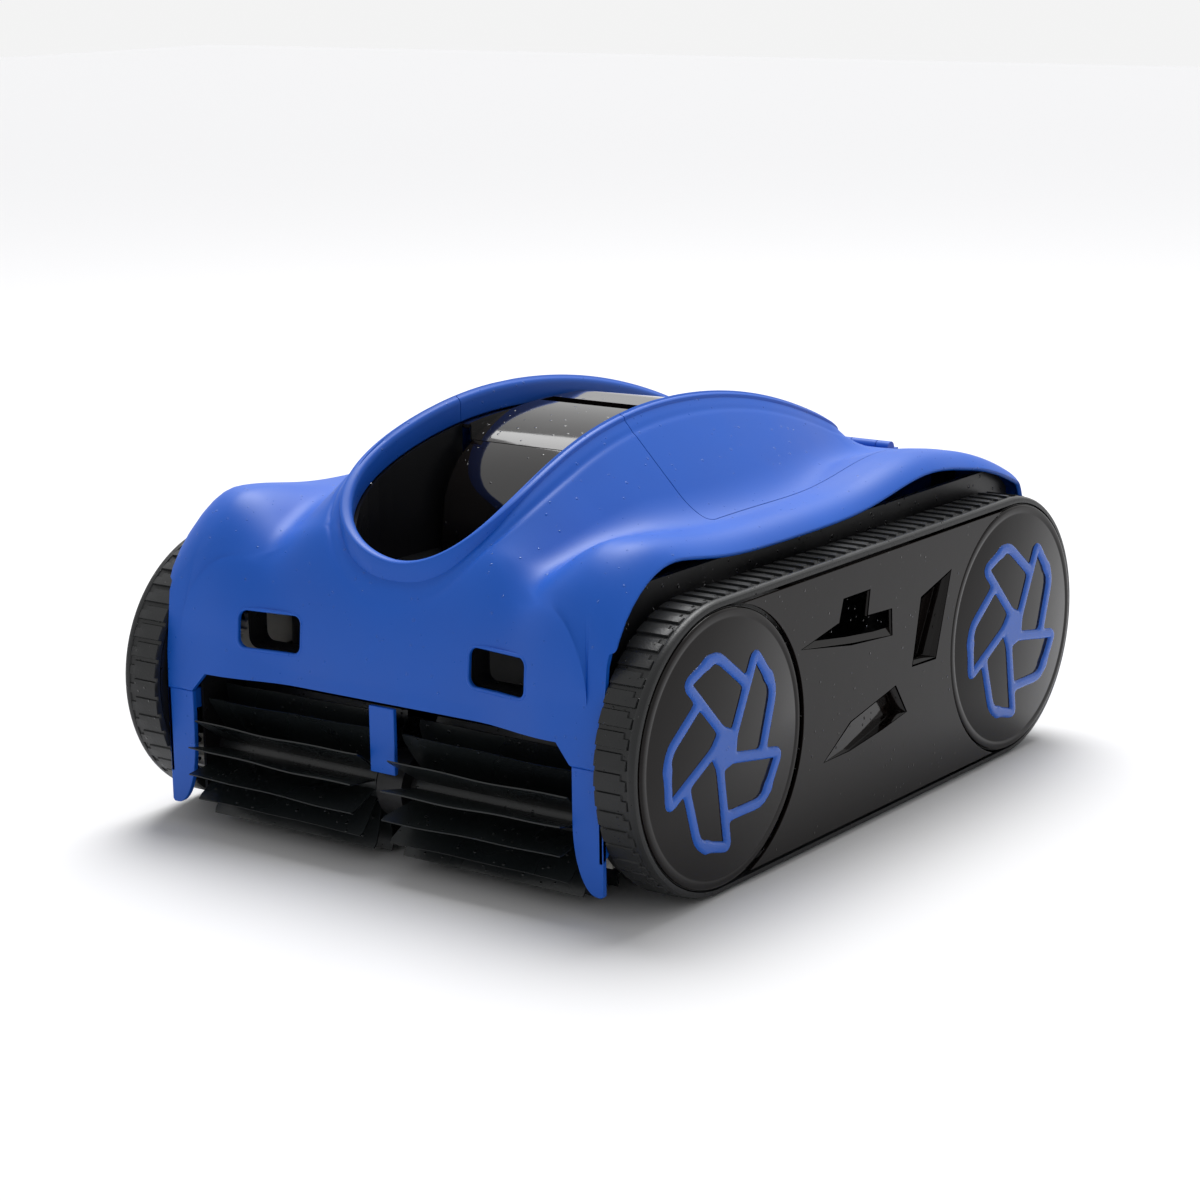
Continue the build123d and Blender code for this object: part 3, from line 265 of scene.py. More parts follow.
def hoop_outline(inset, count):
    """Right half of the crest line in plan, nose to tail, evenly spaced and moved inwards."""
    a = np.linspace(0, np.pi / 2, 300)
    nose = pairs(hoop_half_width * np.sin(a) ** (2 / nose_power),
                 hoop_front_centre - hoop_front_length * np.cos(a) ** (2 / nose_power))
    tail = pairs(hoop_tail_half_width * np.cos(a) ** (2 / tail_power),
                 hoop_rear_centre + hoop_rear_length * np.sin(a) ** (2 / tail_power))
    line = np.concatenate([nose, tail])
    run = run_length(line)
    at = np.linspace(0, run[-1], count)
    line = pairs(np.interp(at, run, line[:, 0]), np.interp(at, run, line[:, 1]))
    heading = np.gradient(line, axis=0)
    heading[[0, -1]] = [[1, 0], [-1, 0]]
    heading /= np.linalg.norm(heading, axis=1)[:, None]
    return line - inset * pairs(heading[:, 1], -heading[:, 0])


def shell_outline():
    """Right half of the shell's plan outline, front to rear, with rounded corners."""
    a, r = np.linspace(0, np.pi / 2, 12), plan_corner
    x, y0, y1 = shell_half_width, shell_front - nose_bulge, shell_rear + tail_bulge
    front = pairs(x - r + r * np.sin(a), y0 + r - r * np.cos(a))
    rear = pairs(x - r + r * np.cos(a), y1 - r + r * np.sin(a))
    return np.concatenate([[[0, y0]], front, rear, [[0, y1]]])


def skin_grid(rays, rows):
    """Points of the outer skin and its unit normals on rays from the hoop out to the free edge.

    Each ray is cut where it reaches the shell's lower edge and divided by arc length, closer near the
    hoop; the rays crowd towards the rear corner."""
    share = np.linspace(0, 1, rays)
    start = hoop_outline(hoop_land / 2, rays)
    outline = shell_outline()
    run = run_length(outline)
    fine = np.linspace(0, run[-1], 3000)
    crowd = 1 + 10 * bell(fine, run[-2] - 20, 16)
    filled = np.concatenate([[0], np.cumsum((crowd[1:] + crowd[:-1]) / 2)])
    at = np.interp((share + 0.07 * np.sin(2 * np.pi * share)) * filled[-1], filled, fine)
    end = pairs(np.interp(at, run, outline[:, 0]), np.interp(at, run, outline[:, 1]))
    f = np.linspace(0, 1, 900)[None, :, None]
    plan = start[:, None] + (end - start)[:, None] * f
    z = shell_height(plan[..., 0], plan[..., 1])
    dense = np.concatenate([plan, z[..., None]], axis=2)
    step = np.linalg.norm(np.diff(dense, axis=1), axis=2)
    length = np.concatenate([np.zeros((rays, 1)), np.cumsum(step, axis=1)], axis=1)
    below = np.where(z < shell_bottom, length, np.inf).min(axis=1)
    total = np.minimum(below, length[:, -1]) - edge_round
    goal = np.linspace(0, 1, rows)[None] ** 1.3 * total[:, None]
    points = np.stack([[np.interp(g, s, d[:, k]) for k in range(2)]
                       for g, s, d in zip(goal, length, dense)]).transpose(0, 2, 1)
    x, y = points[..., 0], points[..., 1]
    e = 0.1
    gx = (shell_height(x + e, y) - shell_height(x - e, y)) / (2 * e)
    gy = (shell_height(x, y + e) - shell_height(x, y - e)) / (2 * e)
    gx[[0, -1]] = 0
    normal = np.stack([-gx, -gy, np.ones_like(gx)], axis=2)
    normal /= np.linalg.norm(normal, axis=2)[..., None]
    z = np.minimum(shell_height(x, y), hoop_top_z + 1.0)
    return np.concatenate([points, z[..., None]], axis=2), normal


def ring_faces(rings, count, closed):
    """Quads between neighbouring rings of count points; closed joins the last ring to the first."""
    a = np.arange(rings if closed else rings - 1)[:, None] * count
    b = (a + count) % (rings * count)
    i = np.arange(count)[None]
    j = (i + 1) % count
    return np.stack([a + i, b + i, b + j, a + j], axis=2).reshape(-1, 4)


def make_piece(name, points, faces, sharp=35.0):
    """Mesh object from points in millimetres, with outward normals and edges sharp above an angle."""
    mesh = bpy.data.meshes.new(name)
    faces = faces.tolist() if isinstance(faces, np.ndarray) else faces
    mesh.from_pydata((np.asarray(points, float).reshape(-1, 3) * MM).tolist(), [], faces)
    work = bmesh.new()
    work.from_mesh(mesh)
    bmesh.ops.remove_doubles(work, verts=work.verts, dist=1e-6)
    bmesh.ops.recalc_face_normals(work, faces=work.faces)
    work.to_mesh(mesh)
    work.free()
    piece = add(name, mesh)
    smooth(piece, sharp)
    return piece


def smooth(piece, sharp):
    """Smooth shading with edges sharp above an angle in degrees."""
    piece.data.polygons.foreach_set("use_smooth", np.ones(len(piece.data.polygons), bool))
    piece.data.set_sharp_from_angle(angle=math.radians(sharp))


def combine(piece, other, operation, sharp=35.0):
    """Boolean of two closed pieces; the result replaces the first one's mesh."""
    step = piece.modifiers.new("join", "BOOLEAN")
    step.object, step.operation, step.solver = other, operation, "EXACT"
    graph = bpy.context.evaluated_depsgraph_get()
    made = bpy.data.meshes.new_from_object(piece.evaluated_get(graph))
    piece.modifiers.clear()
    piece.data = made
    bpy.data.objects.remove(other)
    smooth(piece, sharp)
    return piece


def prism(name, outline, axis, low, high):
    """Closed prism of an outline in the plane across an axis (0, 1 or 2), from low to high."""
    outline = np.asarray(outline, float)
    ends = [np.insert(outline, axis, level_at, axis=1) for level_at in (low, high)]
    n = len(outline)
    faces = ring_faces(2, n, False).tolist() + [list(range(n)), list(range(n, 2 * n))]
    return make_piece(name, np.concatenate(ends), faces)


def rounded_box(x0, x1, y0, y1, radii, steps=10):
    """Outline of a rectangle with its own radius at each corner: low-low, high-low, high-high, low-high."""
    corners = [(x0, y0, 1, 1, 180), (x1, y0, -1, 1, 270), (x1, y1, -1, -1, 0), (x0, y1, 1, -1, 90)]
    outline = []
    for (x, y, sx, sy, turn), r in zip(corners, radii):
        a = np.radians(turn + np.linspace(0, 90, steps))
        outline.append(pairs(x + sx * r + r * np.cos(a), y + sy * r + r * np.sin(a)))
    return np.concatenate(outline)


outer, normal = skin_grid(skin_rays, skin_rows)
inner = outer - shell_wall * normal
tangent = outer[:, -1] - outer[:, -2]
tangent /= np.linalg.norm(tangent, axis=1)[:, None]
turn = np.radians(np.linspace(15, 165, 7))[None, :, None]
middle = (outer[:, -1] + inner[:, -1])[:, None] / 2
rim = middle + (outer[:, -1] - inner[:, -1])[:, None] / 2 * np.cos(turn)
rim = rim + edge_round * np.sin(turn) * tangent[:, None]
sections = np.concatenate([outer, rim, inner[:, ::-1]], axis=1)
sections = np.concatenate([sections, (sections * [-1, 1, 1])[-2:0:-1]])
skin = make_piece("top_shell_skin", sections, ring_faces(len(sections), sections.shape[1], True))

# Hoop bead: an 8 mm land with rounded edges and a 16 mm deep inner band, as insets and depths.
bead = np.array([(0.0, 13.0), (0.0, 6.0), (0.0, 2.2), (0.35, 1.0), (1.0, 0.35), (2.0, 0.0), (3.5, 0.0),
                 (5.0, 0.15), (6.2, 0.6), (7.1, 1.5), (7.7, 2.8), (8.0, 4.5), (8.0, 9.0), (8.0, 14.5),
                 (7.6, 15.6), (6.8, 16.0), (3.0, 16.0), (0.8, 15.2)])
half = np.stack([hoop_outline(inset, hoop_points) for inset in bead[:, 0]], axis=1)
crest_y = hoop_outline(0.0, hoop_points)[:, 1]
height = hoop_height(crest_y)[:, None] - bead[None, :, 1]
half = np.concatenate([half, height[..., None]], axis=2)
half[[0, -1], :, 0] = 0
ring = np.concatenate([half, (half * [-1, 1, 1])[-2:0:-1]])
hoop = make_piece("hoop_bead", ring, ring_faces(len(ring), len(bead), True))
combine(skin, hoop, "UNION")


through_top = (140.0, 300.0)


def lid_slab(name, inset):
    """Prism through the skin over the lid's outline, moved inwards."""
    outline = rounded_box(-lid_half_width + inset, lid_half_width - inset, lid_front + inset, hinge_y - inset,
                          (lid_corner, lid_corner, 0.01, 0.01))
    return prism(name, outline, 2, *through_top)


lid_cover = add("lid_cover", skin.data.copy())
combine(lid_cover, lid_slab("slab", seam_gap), "INTERSECT")
top_cover = skin
top_cover.name = "top_cover"
combine(top_cover, lid_slab("lid_hole", 0.0), "DIFFERENCE")


def full_turn(count):
    """Angles evenly spaced round a circle."""
    return np.linspace(0, 2 * np.pi, count, endpoint=False)


def circle(u, v, radius, count=48):
    """Outline of a circle."""
    a = full_turn(count)
    return pairs(u + radius * np.cos(a), v + radius * np.sin(a))


def gather(name, pieces, sharp=35.0):
    """One object that holds the meshes of several pieces."""
    work = bmesh.new()
    for piece in pieces:
        work.from_mesh(piece.data)
        bpy.data.objects.remove(piece)
    mesh = bpy.data.meshes.new(name)
    work.to_mesh(mesh)
    work.free()
    whole = add(name, mesh)
    smooth(whole, sharp)
    return whole


def skin_y(x, z):
    """Y of the front face at a given X and height, by halving the interval."""
    low, high = np.full_like(x, shell_front - 12), np.full_like(x, shell_front + 30)
    for _ in range(30):
        middle = (low + high) / 2
        under = shell_height(x, middle) < z
        low, high = np.where(under, middle, low), np.where(under, high, middle)
    return (low + high) / 2


# Openings: two intake windows, the brush bay, the room over each track and the rear controls.
wheel_y, wheel_z, track_radius, belt_inner_x = 173.0, 88.5, 88.5, 169.0
window_x, window_z, window_width, window_height, window_corner = 88.0, 133.0, 46.0, 24.0, 6.0
over_front, over_rear, over_side = (-300.0, -200.0), (225.0, 275.0), 220.0
bay_half_width, bay_low, bay_top, bay_corner = 147.0, 60.0, 101.4, (11.0, 12.4)
controls_x, controls_z, lens_z = 90.0, 125.0, 146.0
button_hole, port_hole, lens_hole, outlet_hole = 9.3, 13.5, 3.0, 30.0
track_clear, belt_gap, hinge_gap, barrel_gap = 8.0, 0.6, 0.5, 0.8
hinge_z = float(np.max(shell_height(np.linspace(0, lid_half_width, 60), np.full(60, hinge_y)))) + hinge_gap
knuckle_x, knuckle_width, bracket_width, barrel_radius = 60.0, 20.0, 10.0, 4.5
bracket_offset = (knuckle_width + bracket_width) / 2 + hinge_gap
bracket_centres = [s * knuckle_x + t * bracket_offset for s in (-1, 1) for t in (-1, 1)]
window_outline = rounded_box(-window_width / 2, window_width / 2, -window_height / 2, window_height / 2,
                             (window_corner,) * 4)
bay = np.array([(bay_half_width, bay_low), (bay_half_width, bay_top - bay_corner[1]),
                (bay_half_width - bay_corner[0], bay_top)])
cutters = [prism("bay", np.concatenate([bay, (bay * [-1, 1])[::-1]]), 1, *over_front)]
angle = np.linspace(-np.pi / 2, np.pi / 2, 40)
clear = track_radius + track_clear
arch = pairs(wheel_y + clear * np.cos(angle), wheel_z + clear * np.sin(angle))
arch = np.concatenate([arch, [0, 2 * wheel_z] - arch])
for side in (-1, 1):
    cutters.append(prism("arch", arch, 0, *sorted((side * (belt_inner_x - belt_gap), side * over_side))))
    cutters.append(prism("window", window_outline + [side * window_x, window_z], 1, *over_front))
for x, z, radius in ((controls_x, controls_z, button_hole), (-controls_x, controls_z, port_hole),
                     (controls_x, lens_z, lens_hole), (0.0, controls_z, outlet_hole)):
    cutters.append(prism("rear_hole", circle(x, z, radius), 1, *over_rear))


def barrel_rooms(centres, width):
    """Room round each barrel of a width, in the moulding that it turns in."""
    return [prism("room", circle(hinge_y, hinge_z, barrel_radius + barrel_gap), 0,
                  x - width / 2 - hinge_gap, x + width / 2 + hinge_gap) for x in centres]


cutters += barrel_rooms((-knuckle_x, knuckle_x), knuckle_width)
combine(top_cover, gather("openings", cutters), "DIFFERENCE", 28.0)
combine(lid_cover, gather("rooms", barrel_rooms(bracket_centres, bracket_width)), "DIFFERENCE", 28.0)


def hinge_leaf(name, centres, width, side):
    """Barrels with a short arm each, forwards (side -1) or backwards (side 1)."""
    arm_length, arm_low, arm_high = 10 * side, hinge_z - 5.5, hinge_z - 1.0
    arm = [(hinge_y, arm_low), (hinge_y + arm_length, arm_low), (hinge_y + arm_length, arm_high),
           (hinge_y, arm_high)]
    barrel = circle(hinge_y, hinge_z, barrel_radius, 32)
    return gather(name, [prism("leaf", outline, 0, x - width / 2, x + width / 2)
                         for x in centres for outline in (barrel, arm)])


chassis_leaf = hinge_leaf("hinge_brackets", bracket_centres, bracket_width, 1)
lid_leaf = hinge_leaf("hinge_knuckles", (-knuckle_x, knuckle_x), knuckle_width, -1)


def tube(name, path, radius, count=10):
    """Closed tube: a circle of the given radius carried square to a closed path."""
    path = np.asarray(path, float)
    along = np.roll(path, -1, axis=0) - np.roll(path, 1, axis=0)
    along /= np.linalg.norm(along, axis=1)[:, None]
    first = np.cross(along, [0.0, 1.0, 0.0])
    first /= np.linalg.norm(first, axis=1)[:, None]
    second = np.cross(along, first)
    a = full_turn(count)[None, :, None]
    points = path[:, None] + radius * (np.cos(a) * first[:, None] + np.sin(a) * second[:, None])
    return make_piece(name, points, ring_faces(len(path), count, True))


def window_ring(side, grow):
    """Window outline on one side, grown all round."""
    scale = [(window_width + 2 * grow) / window_width, (window_height + 2 * grow) / window_height]
    return window_outline * scale + [side * window_x, window_z]


# Each window has a rolled lip that catches the light.
lip_radius, lip_sink = 1.15, 0.75
lips = []
for side in (-1, 1):
    x, z = window_ring(side, 0.5).T
    lips.append(tube("lip", np.stack([x, skin_y(x, z) + lip_sink, z], axis=1), lip_radius))
window_lips = gather("window_lips", lips)


def effect(name, inputs, outputs):
    """Empty shader node group with named sockets; returns the group, its input and its output node."""
    group = bpy.data.node_groups.new(name, "ShaderNodeTree")
    for label, kind, value in inputs:
        socket = group.interface.new_socket(label, in_out="INPUT", socket_type=kind)
        if value is not None:
            socket.default_value = value
    for label, kind in outputs:
        group.interface.new_socket(label, in_out="OUTPUT", socket_type=kind)
    return group, group.nodes.new("NodeGroupInput"), group.nodes.new("NodeGroupOutput")


# Moulded grain: fine pebbling over faint sink marks, as spark-eroded tooling leaves.
moulded, enter, leave = effect(
    "moulded_grain",
    [("Grain Scale", "NodeSocketFloat", 1500.0), ("Grain Depth", "NodeSocketFloat", 0.00003),
     ("Sink Depth", "NodeSocketFloat", 0.0002)],
    [("Patch", "NodeSocketFloat"), ("Normal", "NodeSocketVector")])
place = put(moulded, "ShaderNodeTexCoord")
fine = put(moulded, "ShaderNodeTexNoise", Vector=place.outputs["Object"], Scale=enter.outputs["Grain Scale"],
           Detail=2.0)
broad = put(moulded, "ShaderNodeTexNoise", Vector=place.outputs["Object"], Scale=14.0, Detail=3.0)
sink = put(moulded, "ShaderNodeBump", Height=broad.outputs["Fac"], Distance=enter.outputs["Sink Depth"])
pebble = put(moulded, "ShaderNodeBump", Height=fine.outputs["Fac"], Distance=enter.outputs["Grain Depth"],
             Normal=sink.outputs["Normal"])
moulded.links.new(broad.outputs["Fac"], leave.inputs["Patch"])
moulded.links.new(pebble.outputs["Normal"], leave.inputs["Normal"])

# Water beads: round domes of mixed size, each in its own Voronoi cell, some cells left dry.
beads, enter, leave = effect(
    "water_beads",
    [("Scale", "NodeSocketFloat", 300.0), ("Amount", "NodeSocketFloat", 0.3),
     ("Height", "NodeSocketFloat", 0.0006), ("Normal", "NodeSocketVector", None)],
    [("Wet", "NodeSocketFloat"), ("Normal", "NodeSocketVector")])
place = put(beads, "ShaderNodeTexCoord")
cells = put(beads, "ShaderNodeTexVoronoi", Vector=place.outputs["Object"], Scale=enter.outputs["Scale"],
            Randomness=0.9)
chance = put(beads, "ShaderNodeSeparateColor", Color=cells.outputs["Color"])
kept = maths(beads, "LESS_THAN", chance.outputs["Red"], enter.outputs["Amount"])
reach = maths(beads, "MULTIPLY_ADD", chance.outputs["Green"], 0.28, 0.1)
reach = maths(beads, "MULTIPLY", reach, kept)
ratio = maths(beads, "DIVIDE", cells.outputs["Distance"], reach)
square = maths(beads, "MULTIPLY", ratio, ratio)
inside = maths(beads, "SUBTRACT", 1.0, square, clamp=True)
wet = maths(beads, "MULTIPLY", inside, kept)
dome = maths(beads, "SQRT", wet)
edge = maths(beads, "GREATER_THAN", wet, 0.02)
swell = put(beads, "ShaderNodeBump", Height=dome, Distance=enter.outputs["Height"],
            Normal=enter.outputs["Normal"])
beads.links.new(edge, leave.inputs["Wet"])
beads.links.new(swell.outputs["Normal"], leave.inputs["Normal"])


def two_tones(tree, factor, dark, light):
    """Colour between two tones by a factor; returns the colour socket."""
    tone = put(tree, "ShaderNodeMix", {"data_type": "RGBA"}, Factor=factor)
    tone.inputs[6].default_value = (*dark, 1.0)
    tone.inputs[7].default_value = (*light, 1.0)
    return tone.outputs[2]


def finish_material(name, dark, light, rough_low, rough_high, grain, bead, coat=0.0, metal=0.0, specular=0.5):
    """Material of two close tones and two roughnesses spread by the grain's patches, wet with beads.

    grain is (scale, grain depth, sink depth); bead is (scale, amount, height)."""
    made, tree, shader = new_material(name)
    skin_node = put(tree, "ShaderNodeGroup", {"node_tree": moulded}, Grain_Scale=grain[0],
                    Grain_Depth=grain[1], Sink_Depth=grain[2])
    bead_node = put(tree, "ShaderNodeGroup", {"node_tree": beads}, Scale=bead[0], Amount=bead[1],
                    Height=bead[2], Normal=skin_node.outputs["Normal"])
    colour = two_tones(tree, skin_node.outputs["Patch"], dark, light)
    rough = put(tree, "ShaderNodeMapRange", Value=skin_node.outputs["Patch"], From_Min=0.3, From_Max=0.7,
                To_Min=rough_low, To_Max=rough_high)
    smoothed = put(tree, "ShaderNodeMix", {"data_type": "FLOAT"}, Factor=bead_node.outputs["Wet"],
                   A=rough.outputs[0])
    smoothed.inputs[3].default_value = 0.06
    tree.links.new(colour, shader.inputs["Base Color"])
    tree.links.new(smoothed.outputs[0], shader.inputs["Roughness"])
    tree.links.new(bead_node.outputs["Normal"], shader.inputs["Normal"])
    shader.inputs["Coat Weight"].default_value = coat
    shader.inputs["Coat Roughness"].default_value = 0.08
    shader.inputs["Metallic"].default_value = metal
    shader.inputs["Specular IOR Level"].default_value = specular
    return made


def paint(piece, material):
    """Give a piece or a CAD node one material."""
    piece.data.materials.clear()
    piece.data.materials.append(material)


def soften(piece, width):
    """Live bevel of two segments along a piece's sharp edges."""
    bevel = piece.modifiers.new("soften", "BEVEL")
    bevel.width, bevel.segments, bevel.limit_method = width * MM, 2, "ANGLE"


blue_abs = finish_material("blue_abs", (0.001, 0.082, 0.47), (0.0018, 0.102, 0.55), 0.44, 0.54,
                           (1600.0, 0.00002, 0.0003), (420.0, 0.05, 0.0003), specular=0.38)
for piece, body in ((top_cover, "chassis"), (lid_cover, "lid"), (chassis_leaf, "chassis"),
                    (lid_leaf, "lid"), (window_lips, "chassis")):
    paint(piece, blue_abs)
    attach(piece, body)
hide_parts("top_shell")
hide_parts("top_shell")
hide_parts("top_shell")
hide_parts("lid")
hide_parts("lid")

# ---------------------------------------------------------------- front and rear frames
# Blue ABS: posts beside and between the brushes on a bar behind the shell, and the rear skirt. The
# outer posts sweep outwards to a rounded foot.
post_top, post_foot, post_face = shell_bottom - 0.3, 14.0, shell_front - 8.0
post_inner, post_outer = bay_half_width, belt_inner_x - belt_gap
sweep_z, sweep_out, foot_cut = 56.0, 17.0, 1.5
lug_inner, lug_outer, lug_low = 150.0, 157.6, 76.0
centre_half_width, centre_low, centre_top = 9.6, 58.0, 99.0
bar_low, bar_top = 102.0, 107.0


def rectangle(u0, u1, v0, v1):
    """Outline of a rectangle."""
    return [(u0, v0), (u1, v0), (u1, v1), (u0, v1)]


sweep = np.linspace(0, np.pi / 2, 14)
swept = pairs(post_inner + sweep_out * (1 - np.cos(sweep)), sweep_z - (sweep_z - post_foot) * np.sin(sweep))
post_outline = np.concatenate([[(post_inner, post_top)], swept,
                               [(post_outer - foot_cut, post_foot), (post_outer, post_foot + foot_cut),
                                (post_outer, post_top)]])
edge_outline = [(post_face, post_foot + 20), (shell_front, post_foot + 26), (shell_front, post_top),
                (post_face, post_top)]
lug_outline = rectangle(post_face + 1, shell_front + 3, lug_low, post_top)
front_parts = []
for side in (-1, 1):
    front_parts.append(prism("post", post_outline * [side, 1], 1, post_face, post_face + 3.5))
    for name, outline, near, far in (("lug", lug_outline, lug_inner, lug_outer),
                                     ("edge", edge_outline, post_outer - 3.0, post_outer)):
        front_parts.append(prism(name, outline, 0, *sorted((side * near, side * far))))
for name, outline, near, far in (
        ("centre_post", rectangle(-centre_half_width, centre_half_width, centre_low, centre_top), 0.0, 3.0),
        ("bar", rectangle(-lug_outer, lug_outer, bar_low, bar_top), 5.0, 9.0)):
    front_parts.append(prism(name, outline, 1, shell_front + near, shell_front + far))
front_posts = gather("front_posts", front_parts)
soften(front_posts, 0.5)
paint(front_posts, blue_abs)
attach(front_posts, "chassis")
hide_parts("front_frame")
paint(frame["nodes"]["rear_frame"], blue_abs)

# ---------------------------------------------------------------- hand recess
# Matt black ABS tub under the hoop's nose, moulded in one and fixed up under the top shell. The
# dome's front stands in its rear.
matte_black = finish_material("matte_black_abs", (0.006, 0.006, 0.007), (0.011, 0.011, 0.012), 0.28, 0.42,
                              (900.0, 0.00006, 0.0002), (260.0, 0.12, 0.0004), specular=0.28)
paint(frame["nodes"]["recess_liner"], matte_black)

# ---------------------------------------------------------------- intake ducts
# Short black ABS duct behind each window, a moulded sleeve with a 2 mm wall, which leads the water
# down to the tray.
duct_start, duct_end, duct_bore, duct_wall = 9.5, 24.0, 0.6, 2.0


def duct_pair(name, grow, near, far):
    """One prism behind each window, as wide as the window grown all round."""
    return gather(name, [prism("duct", window_ring(side, grow), 1, shell_front + near, shell_front + far)
                         for side in (-1, 1)])


ducts = combine(duct_pair("intake_ducts", duct_bore + duct_wall, duct_start, duct_end),
                duct_pair("bores", duct_bore, duct_start - 3.5, duct_end + 1.0), "DIFFERENCE")
paint(ducts, matte_black)
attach(ducts, "chassis")

# ---------------------------------------------------------------- dome
# Polished black ABS cover between the hoop's sides: its front curve dives into the hand recess, a
# finger slot under a lip opens the lid, and a rear slope follows the hoop between two troughs.
dome_front, dome_top_z, dome_base_z, recess_floor = -121.0, 248.0, 175.0, 165.5
dome_half_width, dome_wall, dome_drop, dome_round = 53.0, 3.0, 8.0, 3.5
slot_front, slot_back, slot_floor, dome_power = -17.0, -3.0, 236.0, 2.4
seam_half_gap, dome_sheet = 0.3, 2.4


def dome_height(y):
    """Front: a superellipse from base to top; behind the slot: the hoop less its drop."""
    front = dome_base_z + (dome_top_z - dome_base_z) * (
        1 - np.clip(y / dome_front, 0, 1) ** dome_power) ** (1 / dome_power)
    rear = np.minimum(hoop_height(y) - dome_drop, dome_top_z)
    share = ramp((y - slot_front) / (slot_back - slot_front))
    return front * (1 - share) + rear * share


def room_half_width(y, inset):
    """Half width inside the hoop at a given Y, from its outline moved inwards."""
    line = hoop_outline(inset, 600)
    return np.interp(y, line[:, 1], line[:, 0])


# Lower dome: slices square to X whose outline shrinks by a quarter round at both ends.
turn = np.linspace(0, np.pi / 2, 7)
shrink = dome_round * (1 - np.sin(turn))
shrink = np.concatenate([shrink, shrink[::-1]])
place_x = -dome_half_width + dome_round * (1 - np.cos(turn))
place_x = np.concatenate([place_x, -place_x[::-1]])
run = np.linspace(0, np.pi / 2, 40)
front_y = dome_front + (slot_front - dome_front) * np.sin(run)
curve = pairs(front_y, dome_height(front_y))
curve = np.concatenate([[[dome_front, recess_floor]], curve, [[slot_front, recess_floor]]])
heading = np.gradient(curve, axis=0)
heading /= np.linalg.norm(heading, axis=1)[:, None]
inward = pairs(heading[:, 1], -heading[:, 0])
inward[0], inward[-1] = (1.0, 0.0), (0.0, 0.0)
slices = curve[None] + shrink[:, None, None] * inward[None]
slices[:, [0, -1], 1] = recess_floor
points = np.concatenate([np.broadcast_to(place_x[:, None, None], slices.shape[:2] + (1,)), slices], axis=2)
count = len(curve)
faces = ring_faces(len(points), count, False).tolist()
faces += [list(range(count)), list(range((len(points) - 1) * count, len(points) * count))]
dome_lower = make_piece("dome_front_half", points, faces, 40.0)
seam_y = lid_front - seam_half_gap
combine(dome_lower, prism("front_of_seam", rectangle(-80, 80, -150, seam_y), 2, *through_top),
        "INTERSECT", 40.0)
hollow = prism("hollow", [(dome_front + 6, recess_floor - 1), (dome_front + 6, 185), (-100, 216),
                          (-80, 222), (-80, recess_floor - 1)], 0, -dome_half_width + dome_wall,
               dome_half_width - dome_wall)
combine(dome_lower, hollow, "DIFFERENCE", 40.0)

# Upper dome: one sheet of cross sections from trough to trough, thickened downwards.
straight_end, tail_length = hoop_rear_centre, 45.2
section_y = np.concatenate([np.linspace(lid_front + seam_half_gap, slot_front, 30),
                            np.linspace(slot_front + 2, straight_end, 40),
                            straight_end + tail_length * np.sin(np.linspace(0.05, np.pi / 2, 26))])
outer_x = room_half_width(section_y, hoop_land + seam_half_gap)
side_x = np.minimum(dome_half_width, outer_x - 1.5)
floor_z = hoop_height(section_y) - hoop_band - 0.6
top_z = dome_height(section_y)
corner_r = np.clip(np.minimum(top_z - floor_z, side_x) * 0.45, 0.2, dome_round)
turn = np.linspace(0, np.pi / 2, 8)[None]
round_x = side_x[:, None] - corner_r[:, None] * (1 - np.cos(turn))
round_z = top_z[:, None] - corner_r[:, None] * (1 - np.sin(turn))
flat_x = round_x[:, -1:] * np.linspace(0.9, 0, 7)[None]
half_x = np.concatenate([outer_x[:, None], side_x[:, None] + 0.8, side_x[:, None], round_x, flat_x], axis=1)
half_z = np.concatenate([floor_z[:, None], floor_z[:, None], floor_z[:, None] + 0.8, round_z,
                         np.repeat(top_z[:, None], 7, axis=1)], axis=1)
sheet_x = np.concatenate([half_x, -half_x[:, -2::-1]], axis=1)
sheet_z = np.concatenate([half_z, half_z[:, -2::-1]], axis=1)
sheet = np.stack([sheet_x, np.repeat(section_y[:, None], sheet_x.shape[1], axis=1), sheet_z], axis=2)
width = sheet.shape[1]
under = sheet - [0.0, 0.0, dome_sheet]
under[..., 0] *= (1 - 1.2 / np.maximum(side_x, 10.0))[:, None]
under[..., 0] = np.where(np.abs(sheet[..., 0]) > side_x[:, None] + 0.5, sheet[..., 0], under[..., 0])
loop = np.concatenate([sheet, under[:, ::-1]], axis=1)
faces = ring_faces(len(loop), 2 * width, False).tolist()
last = (len(loop) - 1) * 2 * width
faces += [[end + j, end + j + 1, end + 2 * width - 2 - j, end + 2 * width - 1 - j]
          for end in (0, last) for j in range(width - 1)]
dome_upper = make_piece("dome_rear_half", loop, faces, 40.0)
for grow, top, end_gap, operation in ((2.0, dome_top_z - 2.0, 1.5, "UNION"),
                                      (0.0, dome_top_z + 14.0, 3.5, "DIFFERENCE")):
    outline = rectangle(slot_front - grow, slot_back + grow, slot_floor - grow, top)
    combine(dome_upper, prism("slot", outline, 0, end_gap - dome_half_width, dome_half_width - end_gap),
            operation, 40.0)

gloss_black = finish_material("gloss_black_abs", (0.004, 0.0028, 0.0026), (0.007, 0.0048, 0.0042), 0.05, 0.09,
                              (60.0, 0.00001, 0.00025), (330.0, 0.10, 0.0004), specular=0.2)
polished = finish_material("polished_black", (0.004, 0.003, 0.003), (0.007, 0.005, 0.0045), 0.04, 0.08,
                           (60.0, 0.00001, 0.00025), (330.0, 0.10, 0.0004), specular=0.8)
paint(dome_lower, polished)
paint(dome_upper, polished)
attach(dome_lower, "chassis")
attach(dome_upper, "lid")
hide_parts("dome_lower")
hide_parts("dome_upper")

